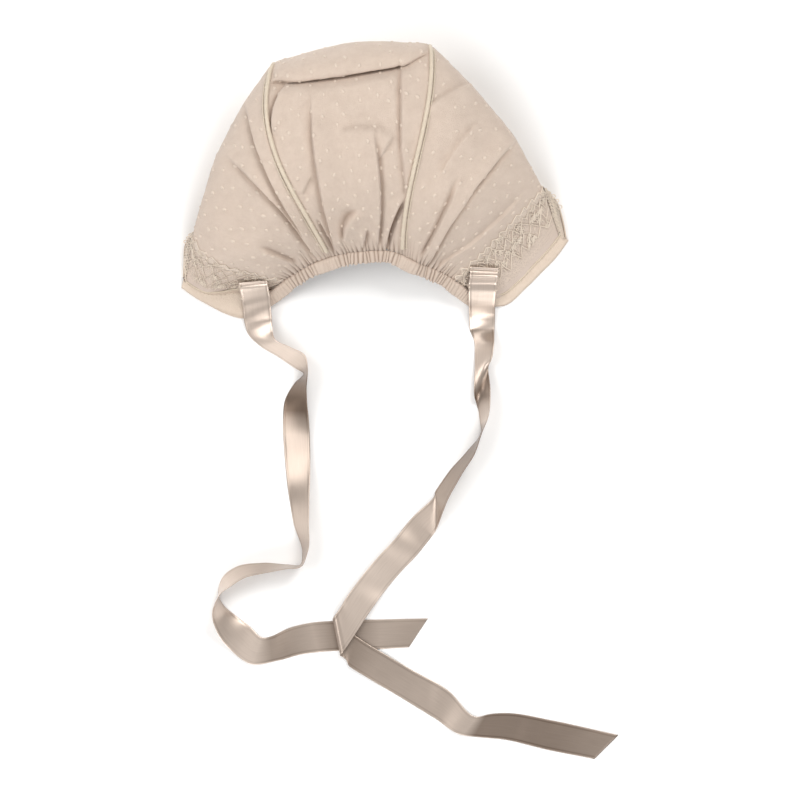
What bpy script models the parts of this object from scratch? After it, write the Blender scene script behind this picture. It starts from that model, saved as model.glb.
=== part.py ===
"""Three-panel cotton baby bonnet with two satin ties, lying on its face opening.

The back of the bonnet faces up. Lengths in the tables are millimetres, the scene is
in metres, +Z is up and z = 0 is the surface that the bonnet lies on.
"""
import math

import bmesh
import bpy
from mathutils import Vector

MM = 0.001

# Driving sizes of the bonnet, in millimetres
CLOTH = 1.4
SEAM_GAP = 0.5
PIPING_RADIUS = 1.2
PIPING_LIFT = 0.35
CASING_HALF_WIDTH = 3.6
CASING_HALF_THICKNESS = 1.5
CASING_TILT = math.radians(30)
CASING_GAP = 0.35
RUCHES = 26
RUCHE_DEPTH = 0.55
BINDING_THICKNESS = 1.8
BINDING_STAND = 4.0
BAND_CLOTH = 1.2
BAND_GAP = 0.35
RIBBON_CLOTH = 1.0
CREST_SHARE = 0.5
HEM_TUCK = 0.32

# Driving sizes of the lace corners
LACE_GAP = 1.25
LACE_EDGE_HEIGHT = 1.3
LACE_SAG = 1.3
LACE_FIRST_V = 0.04
LACE_SHORT_V = 0.06

# Cloth beside a fold or a seam: shares of a fold's length, and millimetres from a seam
FOLD_OVERRUN = 0.1
FOLD_START_FADE = 0.15
FOLD_END_FADE = 0.35
RIDGE_HEIGHT = 0.45
RIDGE_OFFSET = 1.9
RIDGE_WIDTH = 1.3
SEAM_FLAT = 0.6
SEAM_FADE = 3.5

# Driving sizes of the roll over the top of the head
CREASE_DEPTH = 0.4
CREASE_WIDTH = 3.4
CREASE_TUCK = 1.4
ROLL_LIP = 1.2
ROLL_RISE = 2.5

# How finely the panels are divided
SIDE_STEPS = 3
CROWN_STEPS = 4
SIDE_ROWS = 14
CROWN_ROWS_BELOW = 10
CROWN_ROWS_CREASE = 5
CROWN_ROWS_ROLL = 6
CREASE_V_BELOW = 0.07
CREASE_V_ABOVE = 0.06
PIPING_ROWS = 28
PIPING_FIRST_V = 0.09
PIPING_LAST_V = 0.92
CASING_SIDES = 6
LACE_ROWS = 12
LACE_COLUMNS = 6
RIBBON_STEPS = 3
NEAR_PLACE = 0.05

# Neck edge, left to right: the centre line of the elastic casing
# columns: x, y, z
CASING = (
    (-75.0, 51.5, 3.5),
    (-66.0, 57.2, 5.4),
    (-56.3, 64.3, 10.5),
    (-41.8, 71.8, 19.0),
    (-30.0, 75.3, 23.0),
    (-18.2, 76.6, 24.5),
    (-4.3, 76.4, 24.5),
    (7.5, 71.0, 21.5),
    (19.3, 66.5, 15.5),
    (29.0, 60.6, 9.5),
    (37.0, 55.0, 5.0),
    (41.5, 52.3, 3.5),
)

# Ribs of the shell, from the left corner over the crown to the right corner. A rib
# leaves the casing at nape_x and reaches the outline of the bonnet at the outer point.
# columns: nape_x, outer_x, outer_y, low_bow, high_bow, crest_z, outer_z, hem_z, roll_width
RIBS = (
    (-61.0, -111.5, 86.5, 3.0, 6.0, 19.0, 14.5, 13.2, 8.0),
    (-58.5, -108.8, 98.0, 2.5, 4.0, 29.0, 20.0, 15.0, 8.0),
    (-55.3, -104.5, 112.0, 2.0, 2.5, 38.0, 25.0, 19.0, 8.0),
    (-51.5, -98.6, 130.2, 2.0, 3.0, 46.0, 30.0, 22.0, 8.0),
    (-47.0, -91.6, 144.2, 3.0, 4.0, 52.0, 33.0, 24.0, 8.0),
    (-42.3, -84.2, 157.6, 4.5, 6.0, 56.0, 36.0, 24.0, 8.0),
    (-39.0, -76.1, 169.4, 6.5, 9.0, 58.0, 38.0, 24.0, 9.0),
    (-36.4, -67.5, 180.1, 8.7, 12.3, 59.5, 38.0, 24.0, 11.0),
    (-30.5, -54.7, 184.4, 7.5, 10.0, 61.0, 39.0, 24.0, 14.5),
    (-24.1, -41.8, 188.1, 6.0, 7.5, 62.0, 40.0, 24.0, 16.6),
    (-18.2, -28.9, 190.8, 4.5, 5.0, 62.0, 40.0, 24.0, 17.7),
    (-12.3, -15.0, 191.9, 3.2, 2.5, 62.0, 40.0, 24.0, 16.6),
    (-5.9, 2.1, 191.4, 2.0, 0.0, 61.0, 39.0, 24.0, 12.9),
    (0.0, 16.1, 189.7, 0.8, -2.5, 59.5, 38.0, 24.0, 6.0),
    (3.8, 26.8, 180.1, 0.5, -2.0, 58.0, 38.0, 24.0, 8.0),
    (7.5, 37.5, 169.4, 0.0, -1.5, 56.0, 36.0, 24.0, 8.0),
    (11.3, 49.8, 155.4, 0.0, -1.0, 52.0, 33.0, 24.0, 8.0),
    (15.0, 60.6, 142.0, 0.0, -0.5, 46.0, 30.0, 22.0, 8.0),
    (19.3, 67.5, 130.2, 0.0, 0.0, 38.0, 26.0, 19.0, 8.0),
    (23.6, 72.9, 120.6, 0.0, 0.0, 28.0, 20.0, 15.0, 8.0),
    (27.9, 77.2, 112.6, 0.0, 0.0, 19.0, 14.5, 13.2, 8.0),
)
LEFT_SEAM = 7
RIGHT_SEAM = 13
LAST_RIB = 20

# Folds of the cloth seen in plan, each a shallow arc from its nape end to its outer end.
# columns: x0, y0, x1, y1, bend, depth, width, ridge_side
FOLDS = (
    (-47.7, 77.0, -90.6, 127.6, 0.0, 2.6, 2.4, -1),
    (-43.4, 79.0, -82.5, 154.4, 5.5, 2.8, 2.4, 1),
    (-57.4, 73.4, -72.9, 84.2, 0.0, 1.8, 2.2, 1),
    (-35.4, 83.5, -48.8, 159.7, 2.0, 2.6, 2.2, 1),
    (-11.3, 85.0, -12.9, 140.4, -2.0, 3.0, 2.2, 1),
    (-7.0, 82.0, 2.1, 104.0, 1.0, 2.5, 2.2, -1),
    (-1.5, 110.0, -0.3, 176.0, 0.0, 2.0, 2.0, 1),
    (11.5, 78.0, 32.2, 120.1, -1.0, 3.2, 2.5, 1),
    (17.5, 76.5, 58.4, 135.1, 2.5, 2.2, 2.2, -1),
    (22.5, 75.0, 66.0, 112.0, 0.0, 2.6, 2.4, 1),
    (20.0, 157.0, 42.0, 163.0, 2.0, -1.6, 4.0, 1),
)

# Round puffs of the back panel
# columns: x, y, radius, height
PUFFS = (
    (-24.0, 93.0, 8.0, 2.0),
    (-14.0, 144.0, 10.0, 1.6),
    (-50.0, 140.0, 14.0, 1.4),
)

# Right corner of the lace band, where it spreads beside the tie: outer edge in plan
# columns: x, y
LACE_RIGHT = (
    (43.5, 58.8),
    (54.5, 58.6),
    (63.0, 65.5),
    (71.5, 74.5),
    (79.5, 83.0),
    (85.0, 90.0),
)
# columns: upper_x, upper_y, lower_x, lower_y
BINDING_RIGHT = (
    (47.0, 57.4, 47.0, 50.6),
    (54.6, 57.6, 56.5, 51.4),
    (63.8, 64.7, 67.6, 60.6),
    (72.3, 73.7, 76.0, 69.0),
    (80.3, 82.2, 84.0, 77.2),
    (85.8, 89.0, 89.8, 85.0),
)

# Left corner of the lace band and the wide turned-out end of its binding
# columns: x, y
LACE_LEFT = (
    (-77.0, 59.5),
    (-87.4, 62.0),
    (-96.5, 60.4),
    (-104.5, 60.0),
    (-110.4, 62.6),
    (-115.0, 65.2),
)
# columns: upper_x, upper_y, lower_x, lower_y
BINDING_LEFT = (
    (-79.5, 58.4, -79.5, 44.2),
    (-87.4, 60.8, -86.3, 44.6),
    (-96.5, 59.2, -94.5, 47.2),
    (-104.5, 58.8, -103.5, 51.8),
    (-110.6, 61.4, -110.5, 55.8),
    (-115.8, 63.6, -116.9, 60.2),
)

# Front edge where it turns from each corner in under the side panel
# columns: x, y, top_z
FRONT_RIGHT = (
    (89.2, 87.6, 4.6),
    (88.2, 93.5, 6.0),
    (86.4, 101.0, 8.0),
    (83.2, 108.5, 9.5),
    (78.2, 112.6, 9.5),
    (73.5, 115.6, 11.0),
)
FRONT_LEFT = (
    (-106.8, 95.2, 11.0),
    (-109.4, 90.6, 9.5),
    (-113.0, 88.2, 9.5),
    (-115.4, 83.6, 8.0),
    (-116.0, 76.0, 6.0),
    (-116.4, 66.4, 4.6),
)

# The ties: each row is one line across the ribbon, at a bend, twist, fold or cut end
# columns: left_x, left_y, left_z, right_x, right_y, right_z
TIE_LEFT = (
    (-86.6, 63.6, 9.8, -71.2, 64.8, 13.6),
    (-85.4, 56.5, 6.0, -70.2, 59.0, 11.4),
    (-84.2, 48.5, 4.0, -69.4, 51.5, 9.4),
    (-83.3, 41.0, 2.0, -68.7, 43.4, 5.0),
    (-81.5, 35.8, 0.6, -68.4, 37.6, 6.0),
    (-76.0, 30.4, 0.5, -67.0, 33.0, 9.0),
    (-66.0, 24.2, 0.5, -58.8, 28.8, 11.0),
    (-56.5, 17.8, 0.5, -50.6, 23.8, 12.6),
    (-51.8, 14.6, 0.5, -49.6, 16.6, 14.8),
    (-56.6, 9.6, 0.5, -50.2, 8.6, 13.6),
    (-61.4, 1.2, 0.5, -49.8, 0.6, 9.8),
    (-62.8, -9.0, 0.5, -48.9, -9.4, 6.0),
    (-62.2, -27.0, 0.5, -48.2, -27.0, 3.6),
    (-60.2, -46.4, 0.5, -48.4, -46.0, 8.4),
    (-57.2, -65.6, 0.5, -49.0, -65.4, 12.8),
    (-52.4, -81.4, 0.5, -49.6, -81.2, 15.0),
    (-53.6, -88.0, 0.5, -53.0, -88.8, 15.5),
    (-61.0, -88.0, 0.5, -61.0, -90.0, 15.2),
    (-74.0, -87.2, 0.5, -75.6, -92.8, 14.0),
    (-88.0, -89.2, 0.5, -84.6, -95.4, 13.4),
    (-95.4, -95.0, 0.5, -91.2, -99.6, 14.0),
    (-97.6, -103.4, 0.5, -96.8, -104.2, 15.2),
    (-95.4, -109.2, 0.5, -100.4, -112.4, 13.8),
    (-87.6, -116.0, 0.5, -98.4, -123.6, 7.6),
    (-81.0, -121.0, 0.5, -92.2, -132.6, 2.4),
    (-74.5, -127.0, 1.1, -79.3, -141.5, 1.1),
    (-69.0, -126.4, 0.6, -66.0, -139.6, 0.6),
    (-59.0, -121.8, 0.5, -54.0, -136.4, 0.5),
    (-47.7, -119.2, 0.5, -44.0, -135.0, 0.5),
    (-31.0, -118.1, 0.5, -30.0, -134.1, 0.5),
    (-8.0, -117.4, 0.5, -9.0, -133.2, 0.5),
    (15.0, -116.9, 0.5, 4.8, -132.4, 0.5),
)
TIE_RIGHT = (
    (37.5, 72.2, 17.4, 52.5, 71.4, 11.6),
    (37.2, 65.5, 14.6, 52.4, 65.2, 9.6),
    (36.6, 58.6, 11.2, 51.6, 58.6, 6.6),
    (36.9, 51.2, 8.6, 51.2, 51.2, 4.6),
    (37.2, 43.8, 3.8, 51.0, 43.8, 2.2),
    (37.6, 38.4, 0.6, 50.8, 38.4, 1.8),
    (40.0, 31.5, 0.5, 50.6, 31.2, 7.0),
    (40.4, 23.0, 1.6, 49.8, 24.4, 9.2),
    (39.8, 3.8, 5.2, 47.4, 17.0, 5.4),
    (41.4, -2.6, 0.6, 48.4, 6.2, 9.8),
    (43.0, -10.4, 0.5, 47.4, -8.0, 13.6),
    (43.4, -17.4, 0.5, 43.8, -17.2, 15.4),
    (36.0, -27.2, 0.5, 40.0, -28.2, 14.8),
    (27.0, -37.2, 0.5, 33.0, -39.6, 13.8),
    (19.8, -47.6, 0.6, 26.0, -52.4, 12.0),
    (16.6, -53.4, 2.2, 19.6, -68.6, 2.2),
    (7.6, -61.6, 0.6, 18.0, -71.6, 0.6),
    (-2.2, -73.4, 0.5, 10.2, -81.4, 0.5),
    (-15.0, -87.4, 0.6, -4.4, -97.4, 0.6),
    (-27.4, -103.4, 3.3, -15.6, -112.4, 3.3),
    (-33.4, -113.0, 3.9, -29.0, -132.6, 3.9),
    (-35.2, -115.6, 3.8, -31.1, -135.6, 3.8),
    (-36.0, -117.0, 2.8, -32.0, -136.8, 2.8),
    (-35.0, -117.8, 1.8, -30.9, -137.5, 1.8),
    (-33.0, -119.4, 1.8, -29.6, -138.6, 1.8),
    (-20.4, -128.6, 1.9, -27.0, -142.8, 1.9),
    (-8.8, -135.6, 1.9, -16.4, -149.4, 1.0),
    (6.0, -144.4, 0.6, -1.6, -158.2, 0.5),
    (26.0, -155.8, 0.5, 18.4, -170.4, 0.5),
    (41.3, -169.8, 1.2, 33.8, -179.6, 1.2),
    (48.0, -168.4, 0.8, 41.6, -180.6, 0.8),
    (58.0, -167.8, 0.5, 54.6, -181.8, 0.5),
    (82.0, -171.8, 0.5, 79.0, -187.4, 0.5),
    (117.4, -179.6, 0.5, 104.5, -192.4, 0.5),
)

# Looks: material slot, base colour, roughness
COTTON = ("cotton", (0.80, 0.68, 0.56), 0.85)
PIPING = ("piping", (0.86, 0.74, 0.56), 0.6)
LACE = ("lace", (0.82, 0.70, 0.57), 0.8)
BINDING = ("binding", (0.84, 0.69, 0.55), 0.5)
SATIN = ("satin", (0.72, 0.58, 0.47), 0.3)


def clear_scene():
    for thing in list(bpy.data.objects):
        bpy.data.objects.remove(thing)


def smooth_step(share):
    share = min(max(share, 0.0), 1.0)
    return share * share * (3.0 - 2.0 * share)


def bell(offset):
    return math.exp(-offset * offset)


def along(rows, place):
    """A row between the rows of a table, on a smooth curve through them."""
    last = len(rows) - 1
    start = min(max(int(math.floor(place)), 0), last - 1)
    share = place - start
    here = rows[start]
    there = rows[start + 1]
    slope_in = row_slope(rows, start, math.dist(here, there))
    slope_out = row_slope(rows, start + 1, math.dist(here, there))
    square = share * share
    cube = square * share
    result = []
    for b, c, leave, arrive in zip(here, there, slope_in, slope_out):
        result.append(
            (2 * cube - 3 * square + 1) * b
            + (cube - 2 * square + share) * leave
            + (3 * square - 2 * cube) * c
            + (cube - square) * arrive
        )
    return result


def row_slope(rows, index, length):
    """Slope of the curve at a row, for a stretch of this length beside it."""
    before = rows[max(index - 1, 0)]
    here = rows[index]
    after = rows[min(index + 1, len(rows) - 1)]
    back = math.dist(before, here)
    ahead = math.dist(here, after)
    if back == 0.0 or ahead == 0.0:
        return [length * (c - a) / (back + ahead) for a, c in zip(before, after)]
    slope = []
    for a, b, c in zip(before, here, after):
        steep = (b - a) / back * ahead + (c - b) / ahead * back
        slope.append(length * steep / (back + ahead))
    return slope


def casing_frame(place):
    """Centre of the casing and its direction across, towards the panels."""
    centre = Vector(along(CASING, place))
    before = Vector(along(CASING, place - NEAR_PLACE))
    step = Vector(along(CASING, place + NEAR_PLACE)) - before
    flat = Vector((-step.y, step.x, 0.0)).normalized()
    across = flat * math.cos(CASING_TILT) + Vector((0.0, 0.0, math.sin(CASING_TILT)))
    return centre, across, step.normalized()


def casing_place(x):
    """Place along the casing table at which its centre line has this x."""
    low = 0.0
    high = len(CASING) - 1.0
    for _ in range(30):
        middle = (low + high) / 2.0
        if along(CASING, middle)[0] < x:
            low = middle
        else:
            high = middle
    return (low + high) / 2.0


def nape_point(x):
    centre, across, _ = casing_frame(casing_place(x))
    return centre + across * (CASING_HALF_WIDTH + CASING_GAP)


def rib_plan(nape, outer, low_bow, high_bow, share):
    """Point of a rib in plan, a share of the way from the nape to the outline."""
    chord = outer - nape
    sideways = Vector((-chord.y, chord.x)).normalized()
    low_part = 13.5 * share * (2.0 / 3.0 - share) * (1.0 - share)
    high_part = 13.5 * share * (share - 1.0 / 3.0) * (1.0 - share)
    return nape + chord * share + sideways * (low_bow * low_part + high_bow * high_part)


def roll_strength(u):
    """How far the roll over the head shows at this place between the seams."""
    left = smooth_step((u - LEFT_SEAM - 0.1) / 0.8)
    right = smooth_step((RIGHT_SEAM - 0.1 - u) / 0.8)
    return left * right


def base_point(u, v):
    """Shell point at rib place u, from the nape at v = 0 to the hem at v = 1."""
    row = along(RIBS, u)
    nape_x, outer_x, outer_y, low_bow, high_bow, crest, outer_z, hem_z, roll = row
    nape = nape_point(nape_x)
    start = Vector((nape.x, nape.y))
    outer = Vector((outer_x, outer_y))
    length = (outer - start).length
    if v < 0.5:
        rise = 2.0 * v
        share = CREST_SHARE * rise
        height = nape.z + (crest - nape.z) * math.sin(rise * math.pi / 2.0)
    else:
        end = math.acos((hem_z - outer_z) / (crest - outer_z))
        angle = end * (2.0 * v - 1.0)
        height = outer_z + (crest - outer_z) * math.cos(angle)
        share = CREST_SHARE + (1.0 - CREST_SHARE) * math.sin(angle)
        if angle > math.pi / 2.0:
            tuck = (1.0 - math.sin(angle)) / (1.0 - math.sin(end))
            share = 1.0 - tuck * HEM_TUCK * (outer_z - hem_z) / length
    strength = roll_strength(u)
    away = (1.0 - share) * length
    if strength > 0.0 and v < outline_v(u):
        offset = (away - roll) / CREASE_WIDTH
        height -= CREASE_DEPTH * roll * strength * bell(offset)
        shift = CREASE_TUCK * bell(offset) - ROLL_LIP * bell(offset + 1.3)
        share += strength * shift / length
        if away < roll:
            height += ROLL_RISE * strength * math.sin(math.pi * away / roll)
    plan = rib_plan(start, outer, low_bow, high_bow, share)
    return Vector((plan.x, plan.y, height))


def outline_v(u):
    """The v at which a rib reaches the outline of the bonnet."""
    row = along(RIBS, u)
    crest, outer_z, hem_z = row[5], row[6], row[7]
    end = math.acos((hem_z - outer_z) / (crest - outer_z))
    return 0.5 + 0.5 * (math.pi / 2.0) / end


def crease_v(u):
    """The v at which a rib crosses the crease under the roll."""
    row = along(RIBS, u)
    nape = nape_point(row[0])
    length = (Vector((row[1], row[2])) - Vector((nape.x, nape.y))).length
    end = math.acos((row[7] - row[6]) / (row[5] - row[6]))
    share = 1.0 - row[8] / length
    angle = math.asin((share - CREST_SHARE) / (1.0 - CREST_SHARE))
    return 0.5 + 0.5 * angle / end


def base_normal(u, v):
    low_u = max(u - 0.03, 0.0)
    high_u = min(u + 0.03, LAST_RIB)
    low_v = max(v - 0.015, 0.0)
    high_v = min(v + 0.015, 1.0)
    across = base_point(high_u, v) - base_point(low_u, v)
    up = base_point(u, high_v) - base_point(u, low_v)
    return across.cross(up).normalized()


def fold_height(x, y):
    """Height that folds and puffs add at a place in plan."""
    total = 0.0
    for x0, y0, x1, y1, bend, depth, width, ridge_side in FOLDS:
        start = Vector((x0, y0))
        chord = Vector((x1, y1)) - start
        length = chord.length
        forward = chord / length
        sideways = Vector((-forward.y, forward.x))
        offset = Vector((x, y)) - start
        share = offset.dot(forward) / length
        if share < -FOLD_OVERRUN or share > 1.0 + FOLD_OVERRUN:
            continue
        held = min(max(share, 0.0), 1.0)
        aside = offset.dot(sideways) - bend * 4.0 * held * (1.0 - held)
        fade = smooth_step((share + FOLD_OVERRUN) / FOLD_START_FADE)
        fade *= smooth_step((1.0 + FOLD_OVERRUN - share) / FOLD_END_FADE)
        spread = width * (0.6 + 0.6 * held)
        groove = bell(aside / spread)
        beside = aside - ridge_side * RIDGE_OFFSET * spread
        ridge = bell(beside / (RIDGE_WIDTH * spread))
        total += depth * fade * (RIDGE_HEIGHT * ridge - groove)
    for x0, y0, radius, height in PUFFS:
        total += height * bell(math.hypot(x - x0, y - y0) / radius)
    return total


def seam_fade(u, v):
    """Folds die out beside a seam: 0 on it, 1 from about 4 mm away."""
    nearest = min(abs(u - LEFT_SEAM), abs(u - RIGHT_SEAM))
    return smooth_step((nearest * rib_spacing(u, v) - SEAM_FLAT) / SEAM_FADE)


def rib_spacing(u, v):
    """Distance from one rib to the next at this place of the shell."""
    low_u = max(u - NEAR_PLACE, 0.0)
    high_u = min(u + NEAR_PLACE, LAST_RIB)
    return (base_point(high_u, v) - base_point(low_u, v)).length / (high_u - low_u)


def shell_point(u, v):
    point = base_point(u, v)
    if v < 0.02 or v > 0.94:
        return point
    ease = smooth_step((v - 0.02) / 0.08) * smooth_step((0.94 - v) / 0.15)
    lift = fold_height(point.x, point.y) * ease * seam_fade(u, v)
    return point + base_normal(u, v) * lift


def inset_u(u, v, side):
    """Rib place half a seam gap away from u, towards the given side."""
    return u + side * 0.5 * SEAM_GAP / rib_spacing(u, v)


def new_object(name, mesh, look, parts):
    thing = bpy.data.objects.new(name, mesh)
    parts.objects.link(thing)
    thing.data.materials.append(material(name, look))
    return thing


def material(name, look):
    _, colour, roughness = look
    made = bpy.data.materials.new(name + "_" + look[0])
    made.use_nodes = True
    shader = made.node_tree.nodes["Principled BSDF"]
    shader.inputs["Base Color"].default_value = (*colour, 1.0)
    shader.inputs["Roughness"].default_value = roughness
    shader.inputs["Metallic"].default_value = 0.0
    return made


def sheet_mesh(name, grid, up_first):
    """Open sheet through a grid of points given in millimetres."""
    shape = bmesh.new()
    verts = [[shape.verts.new(point * MM) for point in line] for line in grid]
    for low, high in zip(verts, verts[1:]):
        for a, b, c, d in zip(low, low[1:], high[1:], high):
            loop = (a, b, c, d) if up_first else (d, c, b, a)
            shape.faces.new(loop)
    bmesh.ops.triangulate(shape, faces=shape.faces[:])
    mesh = bpy.data.meshes.new(name)
    shape.to_mesh(mesh)
    shape.free()
    mesh.shade_smooth()
    return mesh


def wall_mesh(name, outside, inside):
    """Closed wall between two grids of points, which share the normals of the seams."""
    shape = bmesh.new()
    outer = [[shape.verts.new(point * MM) for point in line] for line in outside]
    inner = [[shape.verts.new(point * MM) for point in line] for line in inside]
    for low, high in zip(outer, outer[1:]):
        for a, b, c, d in zip(low, low[1:], high[1:], high):
            shape.faces.new((d, c, b, a))
    for low, high in zip(inner, inner[1:]):
        for a, b, c, d in zip(low, low[1:], high[1:], high):
            shape.faces.new((a, b, c, d))
    for (a, b), (d, c) in zip(grid_border(outer), grid_border(inner)):
        shape.faces.new((a, b, c, d))
    bmesh.ops.triangulate(shape, faces=shape.faces[:])
    bmesh.ops.recalc_face_normals(shape, faces=shape.faces[:])
    mesh = bpy.data.meshes.new(name)
    shape.to_mesh(mesh)
    shape.free()
    mesh.shade_smooth()
    return mesh


def grid_border(grid):
    """Pairs of neighbours round the border of a grid."""
    loop = list(grid[0])
    loop += [line[-1] for line in grid[1:]]
    loop += list(reversed(grid[-1]))[1:]
    loop += [line[0] for line in reversed(grid)][1:-1]
    return list(zip(loop, loop[1:] + loop[:1]))


def thicken(thing, thickness, offset):
    wall = thing.modifiers.new("wall", "SOLIDIFY")
    wall.thickness = thickness * MM
    wall.offset = offset


def panel(name, u_first, u_last, steps, rows_at, parts):
    """One cloth panel of the shell between two rib places."""
    columns = steps * (u_last - u_first)
    outside = []
    inside = []
    for column in range(columns + 1):
        u = u_first + column / steps
        outer_line = []
        inner_line = []
        for v in rows_at(u):
            place = u
            if column == 0 and u_first > 0:
                place = inset_u(u, v, 1)
            if column == columns and u_last < LAST_RIB:
                place = inset_u(u, v, -1)
            point = shell_point(place, v)
            outer_line.append(point)
            inner_line.append(point - base_normal(u, v) * CLOTH)
        outside.append(outer_line)
        inside.append(inner_line)
    new_object(name, wall_mesh(name, outside, inside), COTTON, parts)


def side_rows(_):
    return [row / SIDE_ROWS for row in range(SIDE_ROWS + 1)]


def crown_rows(u):
    """Rows of the crown panel, closer together around the crease."""
    crease = crease_v(u)
    low = crease - CREASE_V_BELOW
    high = crease + CREASE_V_ABOVE
    below = [low * row / CROWN_ROWS_BELOW for row in range(CROWN_ROWS_BELOW)]
    middle = [low + (high - low) * row / CROWN_ROWS_CREASE for row in range(CROWN_ROWS_CREASE)]
    above = [high + (1.0 - high) * row / CROWN_ROWS_ROLL for row in range(CROWN_ROWS_ROLL + 1)]
    return below + middle + above


def piping(name, seam, parts):
    """Corded seam that lies on the gap between two panels."""
    lift = PIPING_RADIUS + PIPING_LIFT
    points = []
    for row in range(PIPING_ROWS + 1):
        v = PIPING_FIRST_V + (PIPING_LAST_V - PIPING_FIRST_V) * row / PIPING_ROWS
        points.append(base_point(seam, v) + base_normal(seam, v) * lift)
    curve = bpy.data.curves.new(name, "CURVE")
    curve.dimensions = "3D"
    curve.bevel_depth = PIPING_RADIUS * MM
    curve.bevel_resolution = 1
    curve.use_fill_caps = True
    spline = curve.splines.new("POLY")
    spline.points.add(len(points) - 1)
    for spot, point in zip(spline.points, points):
        spot.co = (*(point * MM), 1.0)
    new_object(name, curve, PIPING, parts)


def loft(name, rings, look, parts):
    """Closed body through rings of points, with a flat fan at each end."""
    shape = bmesh.new()
    verts = [[shape.verts.new(point * MM) for point in ring] for ring in rings]
    for low, high in zip(verts, verts[1:]):
        for index in range(len(low)):
            following = (index + 1) % len(low)
            shape.faces.new((low[index], low[following], high[following], high[index]))
    shape.faces.new(verts[0][::-1])
    shape.faces.new(verts[-1])
    bmesh.ops.triangulate(shape, faces=shape.faces[:])
    bmesh.ops.recalc_face_normals(shape, faces=shape.faces[:])
    mesh = bpy.data.meshes.new(name)
    shape.to_mesh(mesh)
    shape.free()
    return new_object(name, mesh, look, parts)


def neck_casing(parts):
    """Elastic casing: a flat tube whose section swells and shrinks with each ruche."""
    steps = 4 * RUCHES
    rings = []
    for step in range(steps + 1):
        place = (len(CASING) - 1) * step / steps
        centre, across, forward = casing_frame(place)
        up = forward.cross(across).normalized()
        ruche = 0.5 - 0.5 * math.cos(2.0 * math.pi * step * RUCHES / steps)
        ease = smooth_step(min(step, steps - step) / 14.0)
        half_width = CASING_HALF_WIDTH - 0.5 * RUCHE_DEPTH * ruche * ease
        half_height = CASING_HALF_THICKNESS - RUCHE_DEPTH * ruche * ease
        ring = []
        for side in range(CASING_SIDES):
            angle = 2.0 * math.pi * (side + 0.5) / CASING_SIDES
            reach = half_width * math.cos(angle) / math.cos(math.pi / CASING_SIDES)
            rise = half_height * math.sin(angle)
            ring.append(centre + across * reach + up * rise)
        rings.append(ring)
    loft("neck_casing", rings, COTTON, parts)


def front_edge():
    """Front edge in plan with the height of the band above it, right corner to left."""
    rows = [Vector(along(FRONT_RIGHT, step / 2.0)) for step in range(2 * len(FRONT_RIGHT) - 1)]
    for step in range(2, 2 * LAST_RIB - 2):
        point = base_point(LAST_RIB - step / 2.0, 1.0)
        rows.append(Vector((point.x, point.y, point.z - 1.0)))
    rows += [Vector(along(FRONT_LEFT, step / 2.0)) for step in range(2 * len(FRONT_LEFT) - 1)]
    return rows


def front_band(parts):
    """Band of the face opening, standing on its binding under the panels."""
    low = BINDING_STAND + BAND_GAP
    rows = [row for row in front_edge() if row.z > low + 1.5]
    grid = []
    for row in rows:
        line = []
        for step in range(4):
            height = low + (row.z - low) * step / 3.0
            line.append(Vector((row.x, row.y, height)))
        grid.append(line)
    thing = new_object("front_band", sheet_mesh("front_band", grid, True), LACE, parts)
    thicken(thing, BAND_CLOTH, 0.0)


def front_binding(parts):
    """Binding under the front band, the line on which the bonnet stands."""
    grid = []
    for row in front_edge():
        grid.append([Vector((row.x, row.y, 0.0)), Vector((row.x, row.y, BINDING_STAND))])
    thing = new_object("front_binding", sheet_mesh("front_binding", grid, True), BINDING, parts)
    thicken(thing, BINDING_THICKNESS, 0.0)


def flat_binding(name, table, parts):
    """Binding beside a tie, lying flat on the surface."""
    steps = 3 * (len(table) - 1)
    height = BINDING_THICKNESS / 2.0
    grid = []
    for step in range(steps + 1):
        upper_x, upper_y, lower_x, lower_y = along(table, step / 3.0)
        upper = Vector((upper_x, upper_y, height))
        lower = Vector((lower_x, lower_y, height))
        grid.append([upper, upper.lerp(lower, 0.5), lower])
    right_side = table[0][0] > 0
    thing = new_object(name, sheet_mesh(name, grid, not right_side), BINDING, parts)
    thicken(thing, BINDING_THICKNESS, 0.0)


def lace_corner(name, u, table, parts):
    """Sloping corner of the lace band, from a panel's last rib down to the binding."""
    outward = 1.0 if u > 0 else -1.0
    last_v = outline_v(u) - LACE_SHORT_V
    grid = []
    for step in range(LACE_ROWS + 1):
        share = step / LACE_ROWS
        v = LACE_FIRST_V + (last_v - LACE_FIRST_V) * share
        edge = base_point(u, v)
        inner = base_point(u - outward * 0.1, v)
        away = (edge - inner).normalized()
        start = edge + away * LACE_GAP
        x, y = along(table, share * (len(table) - 1))
        line = []
        for column in range(LACE_COLUMNS + 1):
            reach = column / LACE_COLUMNS
            point = start.lerp(Vector((x, y, start.z)), reach)
            point.z = start.z * (1.0 - reach) ** LACE_SAG + LACE_EDGE_HEIGHT * smooth_step(reach)
            line.append(point)
        grid.append(line)
    thing = new_object(name, sheet_mesh(name, grid, u > 0), LACE, parts)
    thicken(thing, BAND_CLOTH, 0.0)


def tie(name, table, parts):
    """Satin ribbon through its lines across."""
    steps = RIBBON_STEPS * (len(table) - 1)
    grid = []
    for step in range(steps + 1):
        row = along(table, step / RIBBON_STEPS)
        left = Vector(row[:3])
        right = Vector(row[3:])
        left.z = max(left.z, RIBBON_CLOTH / 2.0)
        right.z = max(right.z, RIBBON_CLOTH / 2.0)
        grid.append([left, right])
    thing = new_object(name, sheet_mesh(name, grid, False), SATIN, parts)
    thicken(thing, RIBBON_CLOTH, 0.0)


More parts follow.
